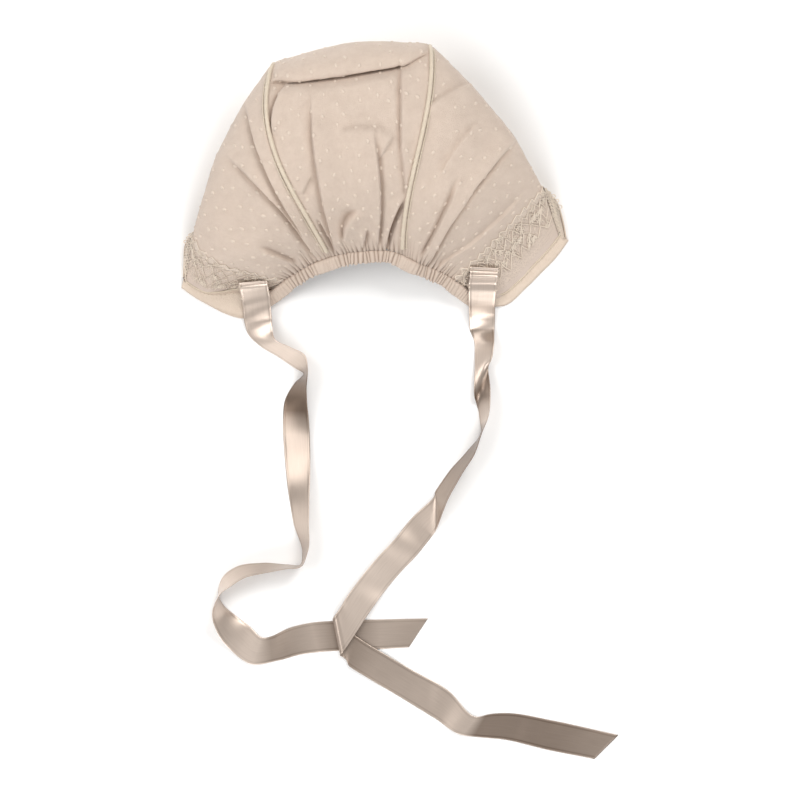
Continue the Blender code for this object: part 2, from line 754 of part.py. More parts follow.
def main():
    clear_scene()
    parts = bpy.data.collections.new("baby_bonnet")
    bpy.context.scene.collection.children.link(parts)
    panel("side_panel_left", 0, LEFT_SEAM, SIDE_STEPS, side_rows, parts)
    panel("crown_panel", LEFT_SEAM, RIGHT_SEAM, CROWN_STEPS, crown_rows, parts)
    panel("side_panel_right", RIGHT_SEAM, LAST_RIB, SIDE_STEPS, side_rows, parts)
    piping("piping_left", LEFT_SEAM, parts)
    piping("piping_right", RIGHT_SEAM, parts)
    neck_casing(parts)
    front_band(parts)
    front_binding(parts)
    lace_corner("lace_corner_left", 0, LACE_LEFT, parts)
    lace_corner("lace_corner_right", LAST_RIB, LACE_RIGHT, parts)
    flat_binding("neck_binding_left", BINDING_LEFT, parts)
    flat_binding("neck_binding_right", BINDING_RIGHT, parts)
    tie("tie_left", TIE_LEFT, parts)
    tie("tie_right", TIE_RIGHT, parts)


main()
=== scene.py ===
"""Looks of the three-panel baby bonnet: cloth panels, piping, lace corners and satin ties.

Sizes in the tables and functions are millimetres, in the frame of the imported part.
"""
import math

import bpy
import numpy as np
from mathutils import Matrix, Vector


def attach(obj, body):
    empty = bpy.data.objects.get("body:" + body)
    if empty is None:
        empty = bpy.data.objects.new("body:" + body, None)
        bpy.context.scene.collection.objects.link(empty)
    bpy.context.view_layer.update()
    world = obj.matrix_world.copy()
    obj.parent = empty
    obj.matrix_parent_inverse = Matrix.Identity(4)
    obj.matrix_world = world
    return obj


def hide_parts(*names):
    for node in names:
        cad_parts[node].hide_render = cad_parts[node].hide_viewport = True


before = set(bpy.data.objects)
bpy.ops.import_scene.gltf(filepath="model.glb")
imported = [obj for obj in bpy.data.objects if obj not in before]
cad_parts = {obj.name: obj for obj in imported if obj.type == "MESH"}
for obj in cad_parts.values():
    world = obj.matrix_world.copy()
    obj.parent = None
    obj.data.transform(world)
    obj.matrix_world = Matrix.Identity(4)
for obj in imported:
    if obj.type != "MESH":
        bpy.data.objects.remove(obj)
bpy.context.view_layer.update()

MM = 0.001

# Driving sizes of the shell, the piping and the casing. The cloth and the piping are a little
# thinner here than in the solids.
CLOTH = 1.2
PIPING_RADIUS = 1.15
PIPING_SINK = 0.5
CASING_HALF_WIDTH = 3.6
CASING_HALF_THICKNESS = 1.5
CASING_TILT = math.radians(30)
CASING_GAP = 0.35
CREST_SHARE = 0.5
HEM_TUCK = 0.32
CREASE_DEPTH = 0.36
CREASE_WIDTH = 2.4
CREASE_TUCK = 1.4
ROLL_LIP = 3.3
ROLL_RISE = 3.0

# Neck edge, left to right: the centre line of the elastic casing
# columns: x, y, z
CASING = (
    (-75.0, 51.5, 3.5), (-66.0, 57.2, 5.4), (-56.3, 64.3, 10.5), (-41.8, 71.8, 19.0),
    (-30.0, 75.3, 23.0), (-18.2, 76.6, 24.5), (-4.3, 76.4, 24.5), (7.5, 71.0, 21.5),
    (19.3, 66.5, 15.5), (29.0, 60.6, 9.5), (37.0, 55.0, 5.0), (41.5, 52.3, 3.5),
)

# Ribs of the shell, from the left corner over the crown to the right corner
# columns: nape_x, outer_x, outer_y, low_bow, high_bow, crest_z, outer_z, hem_z, roll_width
RIBS = (
    (-61.0, -111.5, 86.5, 3.0, 6.0, 19.0, 14.5, 13.2, 8.0),
    (-58.5, -108.8, 98.0, 2.5, 4.0, 29.0, 20.0, 15.0, 8.0),
    (-55.3, -104.5, 112.0, 2.0, 2.5, 38.0, 25.0, 19.0, 8.0),
    (-51.5, -98.6, 130.2, 2.0, 3.0, 46.0, 30.0, 22.0, 8.0),
    (-47.0, -91.6, 144.2, 3.0, 4.0, 52.0, 33.0, 24.0, 8.0),
    (-42.3, -84.2, 157.6, 4.5, 6.0, 56.0, 36.0, 24.0, 8.0),
    (-39.0, -76.1, 169.4, 6.5, 9.0, 58.0, 38.0, 24.0, 9.0),
    (-36.4, -67.5, 180.1, 8.7, 12.3, 59.5, 38.0, 24.0, 11.0),
    (-30.5, -54.7, 184.4, 7.5, 10.0, 61.0, 39.0, 24.0, 14.5),
    (-24.1, -41.8, 188.1, 6.0, 7.5, 62.0, 40.0, 24.0, 16.6),
    (-18.2, -28.9, 190.8, 4.5, 5.0, 62.0, 40.0, 24.0, 17.7),
    (-12.3, -15.0, 191.9, 3.2, 2.5, 62.0, 40.0, 24.0, 16.6),
    (-5.9, 2.1, 191.4, 2.0, 0.0, 61.0, 39.0, 24.0, 12.9),
    (0.0, 16.1, 189.7, 0.8, -2.5, 59.5, 38.0, 24.0, 6.0),
    (3.8, 26.8, 180.1, 0.5, -2.0, 58.0, 38.0, 24.0, 8.0),
    (7.5, 37.5, 169.4, 0.0, -1.5, 56.0, 36.0, 24.0, 8.0),
    (11.3, 49.8, 155.4, 0.0, -1.0, 52.0, 33.0, 24.0, 8.0),
    (15.0, 60.6, 142.0, 0.0, -0.5, 46.0, 30.0, 22.0, 8.0),
    (19.3, 67.5, 130.2, 0.0, 0.0, 38.0, 26.0, 19.0, 8.0),
    (23.6, 72.9, 120.6, 0.0, 0.0, 28.0, 20.0, 15.0, 8.0),
    (27.9, 77.2, 112.6, 0.0, 0.0, 19.0, 14.5, 13.2, 8.0),
)
LEFT_SEAM = 7
RIGHT_SEAM = 13
LAST_RIB = 20

# Folds of the cloth in plan, each a shallow arc from its nape end to its outer end. One side
# of the line is raised, 1 for the left and -1 for the right, and the other side dips.
# columns: x0, y0, x1, y1, bend, rise, rise_width, dip, dip_width, raised_side
FOLDS = (
    (-45.5, 76.6, -90.6, 127.6, -2.0, 1.7, 4.5, 1.9, 2.6, -1),
    (-53.6, 90.6, -83.0, 156.5, 4.0, 1.5, 6.0, 1.7, 4.0, -1),
    (-56.3, 74.5, -74.5, 82.5, 0.0, 1.3, 4.0, 1.3, 2.2, 1),
    (-68.5, 143.0, -61.5, 168.5, 2.7, 2.3, 7.0, 2.0, 3.0, -1),
    (-35.4, 82.5, -48.0, 161.3, 3.2, 1.7, 9.0, 1.5, 3.6, -1),
    (0.0, 133.0, -0.2, 180.0, 0.0, 1.4, 8.0, 1.6, 1.8, -1),
    (2.7, 110.4, 0.0, 134.0, 0.0, 0.9, 4.0, 1.2, 2.8, -1),
    (-11.3, 83.6, -13.2, 141.0, -2.4, 1.6, 6.0, 2.0, 2.2, 1),
    (-7.0, 80.9, 2.3, 106.0, 1.5, 1.8, 5.0, 3.6, 1.8, 1),
    (-30.5, 88.0, -23.5, 101.5, 2.6, 2.3, 5.0, 2.0, 3.4, -1),
    (-31.0, 144.0, -5.0, 144.0, 1.0, 1.1, 8.0, 0.5, 7.0, -1),
    (-10.5, 128.0, -2.1, 141.5, 0.0, 1.0, 3.4, 0.4, 4.0, 1),
    (-51.5, 110.0, -46.5, 119.0, 0.0, 0.45, 5.0, 0.8, 4.0, 1),
    (-35.3, 80.2, -44.2, 96.5, 0.0, 1.0, 3.0, 2.2, 1.3, -1),
    (-20.0, 81.0, -17.5, 91.5, -0.6, 1.3, 3.0, 1.6, 1.6, 1),
    (11.8, 78.5, 30.0, 117.0, -1.0, 1.6, 6.0, 1.8, 1.8, -1),
    (16.6, 74.5, 60.5, 137.0, 2.6, 1.7, 5.0, 1.8, 1.5, 1),
    (19.3, 72.5, 66.0, 113.0, -3.0, 0.9, 8.0, 0.6, 5.0, -1),
    (13.9, 156.5, 40.0, 171.0, 1.0, 1.0, 7.0, 0.5, 5.0, -1),
    (22.0, 122.0, 43.0, 150.0, 2.0, 1.1, 7.0, 0.5, 5.0, -1),
)

# Width of the steep face of a fold, and the dip at which the painted shade of its crease is as
# dark as it gets
FOLD_TURN = 1.5
DEEPEST_DIP = 3.2

# Shares of a fold's length: how far it runs on past its ends, and how it fades in and out
FOLD_BEFORE = 0.1
FOLD_BEYOND = 0.12
FOLD_START = 0.18
FOLD_END = 0.4

# Width of a fold at its nape end, and of its line of painted shade, as shares of its full width
FOLD_NARROW = 0.6
FOLD_LINE = 0.55

# Round puffs of the cloth
# columns: x, y, radius, height
PUFFS = (
    (-24.0, 93.0, 6.5, 2.4), (-15.0, 140.0, 9.0, 1.4), (-50.0, 140.0, 14.0, 1.8),
    (-57.0, 156.0, 9.0, 1.4), (-24.0, 160.0, 16.0, -1.6), (-86.0, 82.0, 14.0, 2.2),
    (-70.0, 70.0, 6.0, 1.2), (22.0, 122.0, 10.0, -1.2), (44.0, 122.0, 14.0, 1.0),
)


def smooth_step(share):
    """From 0 to 1 with a soft start and end."""
    share = np.clip(share, 0.0, 1.0)
    return share * share * (3.0 - 2.0 * share)


def bell(offset):
    """1 in the middle, fading to 0 on both sides."""
    return np.exp(-offset * offset)


def along(rows, places):
    """Rows between the rows of a table, on a smooth curve through them."""
    table = np.asarray(rows, float)
    places = np.atleast_1d(np.asarray(places, float))
    start = np.clip(np.floor(places).astype(int), 0, len(table) - 2)
    share = (places - start)[:, None]
    gap = np.linalg.norm(table[1:] - table[:-1], axis=1)[:, None]
    steep = (table[1:] - table[:-1]) / gap
    slope = np.empty_like(table)
    slope[0] = steep[0]
    slope[-1] = steep[-1]
    slope[1:-1] = (steep[:-1] * gap[1:] + steep[1:] * gap[:-1]) / (gap[:-1] + gap[1:])
    reach = gap[start]
    square = share * share
    cube = square * share
    return (
        (2 * cube - 3 * square + 1) * table[start]
        + (cube - 2 * square + share) * slope[start] * reach
        + (3 * square - 2 * cube) * table[start + 1]
        + (cube - square) * slope[start + 1] * reach
    )


def unit(vectors):
    return vectors / np.maximum(np.linalg.norm(vectors, axis=-1, keepdims=True), 1e-9)


def run_along(line):
    """Length along a line of points, from 0 at its first point."""
    return np.concatenate(([0.0], np.cumsum(np.linalg.norm(np.diff(line, axis=0), axis=1))))


def casing_frame(places):
    """Centre line of the casing, direction across it and direction along it."""
    places = np.asarray(places, float)
    centre = along(CASING, places)
    step = along(CASING, places + 0.05) - along(CASING, places - 0.05)
    flat = unit(np.stack((-step[:, 1], step[:, 0], np.zeros(len(step))), axis=1))
    across = flat * math.cos(CASING_TILT) + np.array((0.0, 0.0, math.sin(CASING_TILT)))
    return centre, across, unit(step)


CASING_PLACES = np.linspace(0.0, len(CASING) - 1, 1101)
CASING_LINE = along(CASING, CASING_PLACES)
CASING_ARC = run_along(CASING_LINE)


def casing_place(x):
    return np.interp(x, CASING_LINE[:, 0], CASING_PLACES)


def casing_arc(x):
    """Length along the casing up to this x."""
    return np.interp(x, CASING_LINE[:, 0], CASING_ARC)


def nape_points(x):
    centre, across, _ = casing_frame(casing_place(x))
    return centre + across * (CASING_HALF_WIDTH + CASING_GAP)


# How far the roll hangs over the crease
# columns: rib place, share
OVERLAP = (
    (7.0, 0.2), (7.6, 0.4), (8.4, 0.75), (9.2, 1.0), (11.8, 1.0), (12.3, 0.5), (13.0, 0.15)
)


def roll_strength(u):
    """How far the roll over the head shows at this place between the seams."""
    left = smooth_step((u - LEFT_SEAM - 0.02) / 0.3)
    right = smooth_step((RIGHT_SEAM - 0.02 - u) / 0.3)
    return left * right


def overhang(us):
    return np.interp(us, *np.array(OVERLAP).T)[:, None]


def end_angle(rows):
    """How far each rib goes round its outer bend, from the crest to the hem."""
    return np.arccos((rows[:, 7] - rows[:, 6]) / (rows[:, 5] - rows[:, 6]))


def plan_length(rows):
    """Length of each rib in plan, from the nape to the outline."""
    return np.linalg.norm(rows[:, 1:3] - nape_points(rows[:, 0])[:, :2], axis=1)


def base_grid(us, vs):
    """Shell points by rib place and by share of the way from the nape to the hem."""
    rows = along(RIBS, us)
    nape = nape_points(rows[:, 0])[:, None, :]
    outer = rows[:, None, 1:3]
    low_bow, high_bow, crest, outer_z, hem_z, roll = (rows[:, k][:, None] for k in range(3, 9))
    chord = outer - nape[:, :, :2]
    length = np.linalg.norm(chord, axis=2)
    end = end_angle(rows)[:, None]
    rise = np.minimum(2.0 * vs, 1.0)
    angle = end * np.maximum(2.0 * vs - 1.0, 0.0)
    low_height = nape[:, :, 2] + (crest - nape[:, :, 2]) * np.sin(rise * math.pi / 2.0)
    high_height = outer_z + (crest - outer_z) * np.cos(angle)
    height = np.where(vs < 0.5, low_height, high_height)
    share = CREST_SHARE * rise + (1.0 - CREST_SHARE) * np.sin(angle)
    tuck = (1.0 - np.sin(angle)) / (1.0 - np.sin(end))
    tucked = 1.0 - tuck * HEM_TUCK * (outer_z - hem_z) / length
    share = np.where(angle > math.pi / 2.0, tucked, share)
    height, share = add_roll(us, angle, height, share, length, roll)
    sideways = unit(np.stack((-chord[..., 1], chord[..., 0]), axis=-1))
    low_part = 13.5 * share * (2.0 / 3.0 - share) * (1.0 - share)
    high_part = 13.5 * share * (share - 1.0 / 3.0) * (1.0 - share)
    bow = (low_bow * low_part + high_bow * high_part)[..., None]
    plan = nape[:, :, :2] + chord * share[..., None] + sideways * bow
    return np.concatenate((plan, height[..., None]), axis=-1)


def add_roll(us, angle, height, share, length, roll):
    """The roll over the top of the head, and the deep crease under it."""
    strength = roll_strength(us)[:, None] * (angle < math.pi / 2.0)
    away = (1.0 - share) * length
    offset = (away - roll) / CREASE_WIDTH
    overlap = overhang(us) * strength
    depth = CREASE_DEPTH * roll * (0.35 * strength + 0.65 * overlap)
    height = height - depth * bell(offset / np.where(offset > 0.0, 1.35, 1.0))
    shift = CREASE_TUCK * bell(offset - 0.1) - ROLL_LIP * bell(offset + 1.2)
    inside = np.clip(away / roll, 0.0, 1.0)
    height = height + ROLL_RISE * strength * np.sin(math.pi * inside)
    return height, share + overlap * shift / length


def outline_v(us):
    """The share of the way at which each rib reaches the outline of the bonnet."""
    return 0.5 + 0.25 * math.pi / end_angle(along(RIBS, us))


def crease_v(us):
    """The share of the way at which each rib crosses the crease under the roll."""
    rows = along(RIBS, us)
    share = 1.0 - rows[:, 8] / plan_length(rows)
    angle = np.arcsin((share - CREST_SHARE) / (1.0 - CREST_SHARE))
    return 0.5 + 0.5 * angle / end_angle(rows)


def grid_normals(grid):
    """Outward normals of a grid whose columns go right and whose rows go up."""
    across = np.gradient(grid, axis=0)
    up = np.gradient(grid, axis=1)
    return unit(np.cross(across, up))


def fold_shape(plan):
    """Height that folds and puffs add at places in plan, and how much painted shade a fold's
    crease puts there.
    """
    height = np.zeros(plan.shape[:-1])
    crease = np.zeros(plan.shape[:-1])
    for x0, y0, x1, y1, bend, rise, rise_width, dip, dip_width, raised_side in FOLDS:
        chord = np.array((x1 - x0, y1 - y0))
        length = np.linalg.norm(chord)
        forward = chord / length
        offset = plan - np.array((x0, y0))
        share = offset @ forward / length
        held = np.clip(share, 0.0, 1.0)
        aside = offset @ np.array((-forward[1], forward[0])) - bend * 4.0 * held * (1.0 - held)
        fade = smooth_step((share + FOLD_BEFORE) / FOLD_START)
        fade *= smooth_step((1.0 + FOLD_BEYOND - share) / FOLD_END)
        across = raised_side * aside / (FOLD_NARROW + (1.0 - FOLD_NARROW) * held)
        beyond = np.maximum(across - FOLD_TURN, 0.0)
        lifted = smooth_step(across / FOLD_TURN) * bell(beyond / rise_width)
        sunk = bell(across / np.where(across > 0.0, 0.5 * FOLD_TURN, dip_width))
        height += fade * (rise * lifted - dip * sunk)
        # Painted shade along the crease of each fold, darker for a deeper dip
        line = bell(across / np.where(across > 0.0, 0.5 * FOLD_TURN, FOLD_LINE * dip_width))
        crease += fade * line * dip / DEEPEST_DIP
    for x, y, radius, rise in PUFFS:
        height += rise * bell(np.linalg.norm(plan - np.array((x, y)), axis=-1) / radius)
    return height, crease


def waves(plan, seed, count, shortest, longest):
    """Soft unevenness: a sum of gentle waves in many directions, about 1 high."""
    source = np.random.default_rng(seed)
    total = np.zeros(plan.shape[:-1])
    for _ in range(count):
        heading = source.uniform(0.0, 2.0 * math.pi)
        length = source.uniform(shortest, longest)
        phase = source.uniform(0.0, 2.0 * math.pi)
        direction = np.array((math.cos(heading), math.sin(heading)))
        total += np.cos(plan @ direction * 2.0 * math.pi / length + phase)
    return total / math.sqrt(count)


def gather_marks():
    """Places of the valleys between gathers along the casing, unevenly spaced."""
    source = np.random.default_rng(4)
    marks = [-4.0]
    while marks[-1] < 140.0:
        marks.append(marks[-1] + source.uniform(0.9, 2.9))
    return np.array(marks)


GATHERS = gather_marks()
GATHER_SOURCE = np.random.default_rng(9)
GATHER_HEIGHT = GATHER_SOURCE.uniform(0.4, 1.0, len(GATHERS))
GATHER_REACH = GATHER_SOURCE.uniform(3.5, 11.0, len(GATHERS))
GATHER_DRIFT = GATHER_SOURCE.uniform(-0.5, 0.5, len(GATHERS))

# How tightly the casing is gathered
# columns: x, tightness
TIGHTNESS = (
    (-70.0, 0.15), (-61.0, 0.25), (-56.5, 1.0), (-46.5, 1.0), (-42.5, 0.15), (-35.0, 0.2),
    (-31.0, 1.0), (-3.0, 1.0), (1.0, 0.15), (6.5, 0.15), (10.0, 1.0), (24.0, 1.0), (28.0, 0.35),
    (41.0, 0.2),
)


def tightness(x):
    return np.interp(x, *np.array(TIGHTNESS).T)


def gather_profile(arc):
    """Rounded ridges, the painted shade of the narrow valleys between them, and each ridge's
    reach and drift.
    """
    index = np.clip(np.searchsorted(GATHERS, arc) - 1, 0, len(GATHERS) - 2)
    low = GATHERS[index]
    high = GATHERS[index + 1]
    place = 2.0 * (arc - low) / (high - low) - 1.0
    ridge = np.clip(1.0 - place * place, 0.0, 1.0) ** 0.8
    painted_valley_shade = np.abs(place) ** 3.5
    return ridge * GATHER_HEIGHT[index], painted_valley_shade, GATHER_REACH[index], GATHER_DRIFT[index]


def material_node(nodes, kind, **values):
    node = nodes.new(kind)
    for name, value in values.items():
        if hasattr(node, name):
            setattr(node, name, value)
        else:
            node.inputs[name.replace("_", " ")].default_value = value
    return node


def grid_faces(columns, rows, flip=False):
    start = (np.arange(columns - 1)[:, None] * rows + np.arange(rows - 1)[None, :]).ravel()
    corners = np.stack((start, start + rows, start + rows + 1, start + 1), axis=1)
    return corners[:, ::-1] if flip else corners


def add_marks(mesh, marks):
    """Numbers on the points of a mesh, which its material reads by name."""
    for label, values in marks.items():
        layer = mesh.attributes.new(label, "FLOAT", "POINT")
        layer.data.foreach_set("value", np.asarray(values, np.float32).ravel())


def make_mesh(name, points, faces, uvs=None, **marks):
    """Smooth mesh from points in millimetres, with cloth coordinates and marks on its points."""
    mesh = bpy.data.meshes.new(name)
    mesh.from_pydata((points * MM).tolist(), [], [tuple(map(int, face)) for face in faces])
    if uvs is not None:
        layer = mesh.uv_layers.new(name="cloth")
        loops = np.empty(len(mesh.loops), dtype=np.int32)
        mesh.loops.foreach_get("vertex_index", loops)
        layer.data.foreach_set("uv", uvs[loops].astype(np.float32).ravel())
    add_marks(mesh, marks)
    mesh.update()
    mesh.shade_smooth()
    return mesh


def round_ring(sides):
    """Places round a circle of radius 1."""
    angle = 2.0 * math.pi * np.arange(sides) / sides
    return np.stack((np.cos(angle), np.sin(angle)), axis=1)


def square_ring(sides, power):
    """Places round a section that is squarer for a smaller power."""
    ring = round_ring(sides)
    return np.sign(ring) * np.abs(ring) ** power


def tube_faces(rings, sides, first=0):
    """Faces of a closed tube whose rings of points are numbered from first."""
    start = np.arange((rings - 1) * sides)
    following = start - start % sides + (start + 1) % sides
    walls = np.stack((start, following, following + sides, start + sides), axis=1) + first
    last = first + (rings - 1) * sides
    return [*walls.tolist(), range(first, first + sides)[::-1], range(last, last + sides)]


def add_piece(name, mesh, look, nodes=()):
    thing = bpy.data.objects.new(name, mesh)
    bpy.context.scene.collection.objects.link(thing)
    thing.data.materials.append(look)
    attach(thing, "root")
    if nodes:
        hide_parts(*nodes)
    return thing


def wall_piece(name, outer, inner, uvs, look, slot, nodes=(), **marks):
    """Closed cloth wall between two grids of points with the same border order."""
    columns, rows = outer.shape[:2]
    count = columns * rows
    points = np.concatenate((outer.reshape(-1, 3), inner.reshape(-1, 3)))
    index = np.arange(count).reshape(columns, rows)
    border = np.concatenate(
        (index[0], index[1:, -1], index[-1, ::-1][1:], index[::-1, 0][1:-1])
    )
    following = np.roll(border, -1)
    rim = np.stack((border, following, following + count, border + count), axis=1)
    faces = np.concatenate(
        (grid_faces(columns, rows), grid_faces(columns, rows, True) + count, rim)
    )
    both = np.concatenate((uvs.reshape(-1, 2), uvs.reshape(-1, 2)))
    twice = {label: np.concatenate((m.ravel(), m.ravel())) for label, m in marks.items()}
    return add_piece(name, make_mesh(name, points, faces, both, **twice), look, nodes)


# Millimetres of cloth in one unit of its coordinates
CLOTH_UNIT = 100.0


def cloth_uvs(grid):
    """Cloth coordinates of a grid."""
    across = np.linalg.norm(np.diff(grid, axis=0), axis=2)
    up = np.linalg.norm(np.diff(grid, axis=1), axis=2)
    middle = grid.shape[1] // 2
    u = np.concatenate(([0.0], np.cumsum(across[:, middle])))
    v = np.concatenate((np.zeros((len(grid), 1)), np.cumsum(up, axis=1)), axis=1)
    return np.stack((np.broadcast_to(u[:, None], v.shape), v), axis=-1) / CLOTH_UNIT


# Materials


def new_material(name, colour, roughness):
    made = bpy.data.materials.new(name)
    made.use_nodes = True
    nodes = made.node_tree.nodes
    shader = nodes["Principled BSDF"]
    shader.inputs["Base Color"].default_value = (*colour, 1.0)
    shader.inputs["Roughness"].default_value = roughness
    return made, nodes, made.node_tree.links, shader


def ramp(nodes, low_at, low_colour, high_at, high_colour):
    node = nodes.new("ShaderNodeValToRGB")
    node.color_ramp.elements[0].position = low_at
    node.color_ramp.elements[0].color = (*low_colour, 1.0)
    node.color_ramp.elements[1].position = high_at
    node.color_ramp.elements[1].color = (*high_colour, 1.0)
    return node


def weave(nodes, links, vector, threads):
    """Plain weave: two sets of threads crossing, as a height from 0 to 1."""
    mix = material_node(nodes, "ShaderNodeMath", operation="MULTIPLY")
    for place, direction in enumerate(("X", "Y")):
        wave = material_node(
            nodes, "ShaderNodeTexWave", bands_direction=direction, Scale=threads,
            Distortion=0.6, Detail=1.0,
        )
        links.new(vector, wave.inputs["Vector"])
        links.new(wave.outputs["Fac"], mix.inputs[place])
    return mix.outputs[0]


def bump(nodes, links, height, strength, distance, shader, before=None):
    """Relief from a height, on top of an earlier relief if there is one."""
    node = material_node(nodes, "ShaderNodeBump", Strength=strength, Distance=distance)
    links.new(height, node.inputs["Height"])
    if before is not None:
        links.new(before.outputs["Normal"], node.inputs["Normal"])
    links.new(node.outputs["Normal"], shader.inputs["Normal"])
    return node


def mark(nodes, label):
    """The number that add_marks put on the points, 0 where there is none."""
    return material_node(nodes, "ShaderNodeAttribute", attribute_name=label).outputs["Fac"]


def darken(nodes, links, colour, deepest, shader):
    """Gives the shader the colour, with painted shade: warmer and darker where the crease mark is
    high.
    """
    mix = material_node(nodes, "ShaderNodeMixRGB", blend_type="MULTIPLY", Color2=(*deepest, 1.0))
    links.new(mark(nodes, "crease"), mix.inputs["Fac"])
    links.new(colour, mix.inputs["Color1"])
    links.new(mix.outputs["Color"], shader.inputs["Base Color"])


def cloth_noise(nodes, links, place, **values):
    """Noise in cloth coordinates."""
    noise = material_node(nodes, "ShaderNodeTexNoise", **values)
    links.new(place, noise.inputs["Vector"])
    return noise.outputs["Fac"]


# Painted shade: the colours that the crease mark multiplies in, on cotton and net and on the
# satin ties
CREASE_SHADE = (0.47, 0.385, 0.33)
SATIN_SHADE = (0.25, 0.21, 0.18)


def cotton_look(name, low, high, threads=180.0, roughness=0.85):
    """Woven thread: mottled between two colours, with grain and a plain weave, and painted shade
    where the crease mark is high.
    """
    made, nodes, links, shader = new_material(name, high, roughness)
    place = nodes.new("ShaderNodeUVMap").outputs["UV"]
    tint = ramp(nodes, 0.35, low, 0.65, high)
    mottle = cloth_noise(nodes, links, place, Scale=14.0, Detail=6.0, Roughness=0.78)
    links.new(mottle, tint.inputs["Fac"])
    darken(nodes, links, tint.outputs["Color"], CREASE_SHADE, shader)
    grain = cloth_noise(nodes, links, place, Scale=160.0, Detail=3.0)
    first = bump(nodes, links, grain, 0.6, 0.0006, shader)
    bump(nodes, links, weave(nodes, links, place, threads), 0.3, 0.0002, shader, first)
    shader.inputs["Sheen Weight"].default_value = 0.25
    shader.inputs["Sheen Roughness"].default_value = 0.5
    return made


def satin_look(name, low, high):
    """Glossy ribbon with fine streaks along it, and painted shade where the crease mark is high.
    """
    made, nodes, links, shader = new_material(name, high, 0.36)
    place = nodes.new("ShaderNodeUVMap")
    stretch = material_node(nodes, "ShaderNodeMapping", Scale=(140.0, 9.0, 1.0))
    links.new(place.outputs["UV"], stretch.inputs["Vector"])
    streaks = cloth_noise(nodes, links, stretch.outputs["Vector"], Scale=1.0, Detail=4.0)
    tint = ramp(nodes, 0.3, low, 0.7, high)
    links.new(streaks, tint.inputs["Fac"])
    darken(nodes, links, tint.outputs["Color"], SATIN_SHADE, shader)
    bump(nodes, links, streaks, 0.12, 0.0002, shader)
    shader.inputs["Metallic"].default_value = 0.68
    shader.inputs["Coat Weight"].default_value = 0.12
    shader.inputs["Coat Roughness"].default_value = 0.25
    shader.inputs["Sheen Weight"].default_value = 0.06
    shader.inputs["Sheen Roughness"].default_value = 0.35
    shader.inputs["Anisotropic"].default_value = 0.4
    return made


def net_look(name, low, high, plain):
    """Fine net with cells about a millimetre across, plain cloth where it is marked, and painted
    shade where the crease mark is high.
    """
    made, nodes, links, shader = new_material(name, high, 0.85)
    place = nodes.new("ShaderNodeUVMap")
    cells = material_node(
        nodes, "ShaderNodeTexVoronoi", feature="DISTANCE_TO_EDGE", Scale=95.0
    )
    links.new(place.outputs["UV"], cells.inputs["Vector"])
    net = ramp(nodes, 0.04, high, 0.22, low)
    links.new(cells.outputs["Distance"], net.inputs["Fac"])
    mix = material_node(nodes, "ShaderNodeMixRGB", Color2=(*plain, 1.0))
    links.new(mark(nodes, "plain"), mix.inputs["Fac"])
    links.new(net.outputs["Color"], mix.inputs["Color1"])
    darken(nodes, links, mix.outputs["Color"], CREASE_SHADE, shader)
    bump(nodes, links, mix.outputs["Color"], 0.5, 0.0003, shader)
    shader.inputs["Sheen Weight"].default_value = 0.2
    return made


COTTON = cotton_look("cotton_lawn", (0.585, 0.475, 0.395), (0.64, 0.53, 0.445))
DOT_THREAD = cotton_look("dot_thread", (0.63, 0.525, 0.44), (0.68, 0.58, 0.49), 300.0)
PIPING_SATIN = cotton_look(
    "piping_satin", (0.65, 0.555, 0.435), (0.71, 0.615, 0.49), 260.0, 0.5
)
LACE_CLOTH = net_look("lace_net", (0.50, 0.41, 0.345), (0.63, 0.53, 0.45), (0.57, 0.475, 0.415))
LACE_EDGE_CLOTH = net_look(
    "lace_edge_net", (0.53, 0.44, 0.365), (0.66, 0.56, 0.475), (0.60, 0.50, 0.43)
)
# The band's net is coloured darker than the lace: painted shade of the dark inside seen through
# it
BAND_CLOTH = net_look("band_net", (0.35, 0.28, 0.235), (0.50, 0.415, 0.35), (0.58, 0.485, 0.43))
LACE_THREAD = cotton_look("lace_thread", (0.77, 0.665, 0.555), (0.84, 0.735, 0.62), 300.0)
BINDING_LOOK = cotton_look(
    "bias_binding", (0.655, 0.54, 0.44), (0.715, 0.60, 0.495), 220.0, 0.6
)
SATIN = satin_look("satin_ribbon", (0.74, 0.625, 0.54), (0.80, 0.68, 0.59))


# Panels


def side_rows(us):
    return np.broadcast_to(np.linspace(0.0, 1.0, 150), (len(us), 150))


def crown_rows(us):
    """Rows of the crown, much closer together round the crease under the roll."""
    crease = crease_v(us)[:, None]
    below = (crease - 0.07) * np.linspace(0.0, 1.0, 90, endpoint=False)[None, :]
    middle = crease - 0.07 + 0.13 * np.linspace(0.0, 1.0, 60, endpoint=False)[None, :]
    above = crease + 0.06 + (0.94 - crease) * np.linspace(0.0, 1.0, 40)[None, :]
    return np.concatenate((below, middle, above), axis=1)


# Soft waves of a panel: height, number, shortest and longest
WAVES = (0.45, 14, 16.0, 38.0)
FINE_WAVES = (0.06, 18, 4.0, 9.0)

# Gathers of a panel at the nape: their height and the painted shade in the valleys between them
GATHER_RISE = 1.8
VALLEY_SHADE = 0.85

# Painted shade in a fine line beside each seam's piping and along the join with the casing: its
# distance from the seam and darkness
SEAM_LINE = 1.5
SEAM_SHADE = 0.15


def seam_distance(us, base):
    """How far each point of a panel is from the nearest seam."""
    spacing = np.linalg.norm(np.gradient(base, axis=0), axis=2) / (us[1] - us[0])
    nearest = np.minimum(abs(us - LEFT_SEAM), abs(us - RIGHT_SEAM))[:, None]
    return nearest * spacing


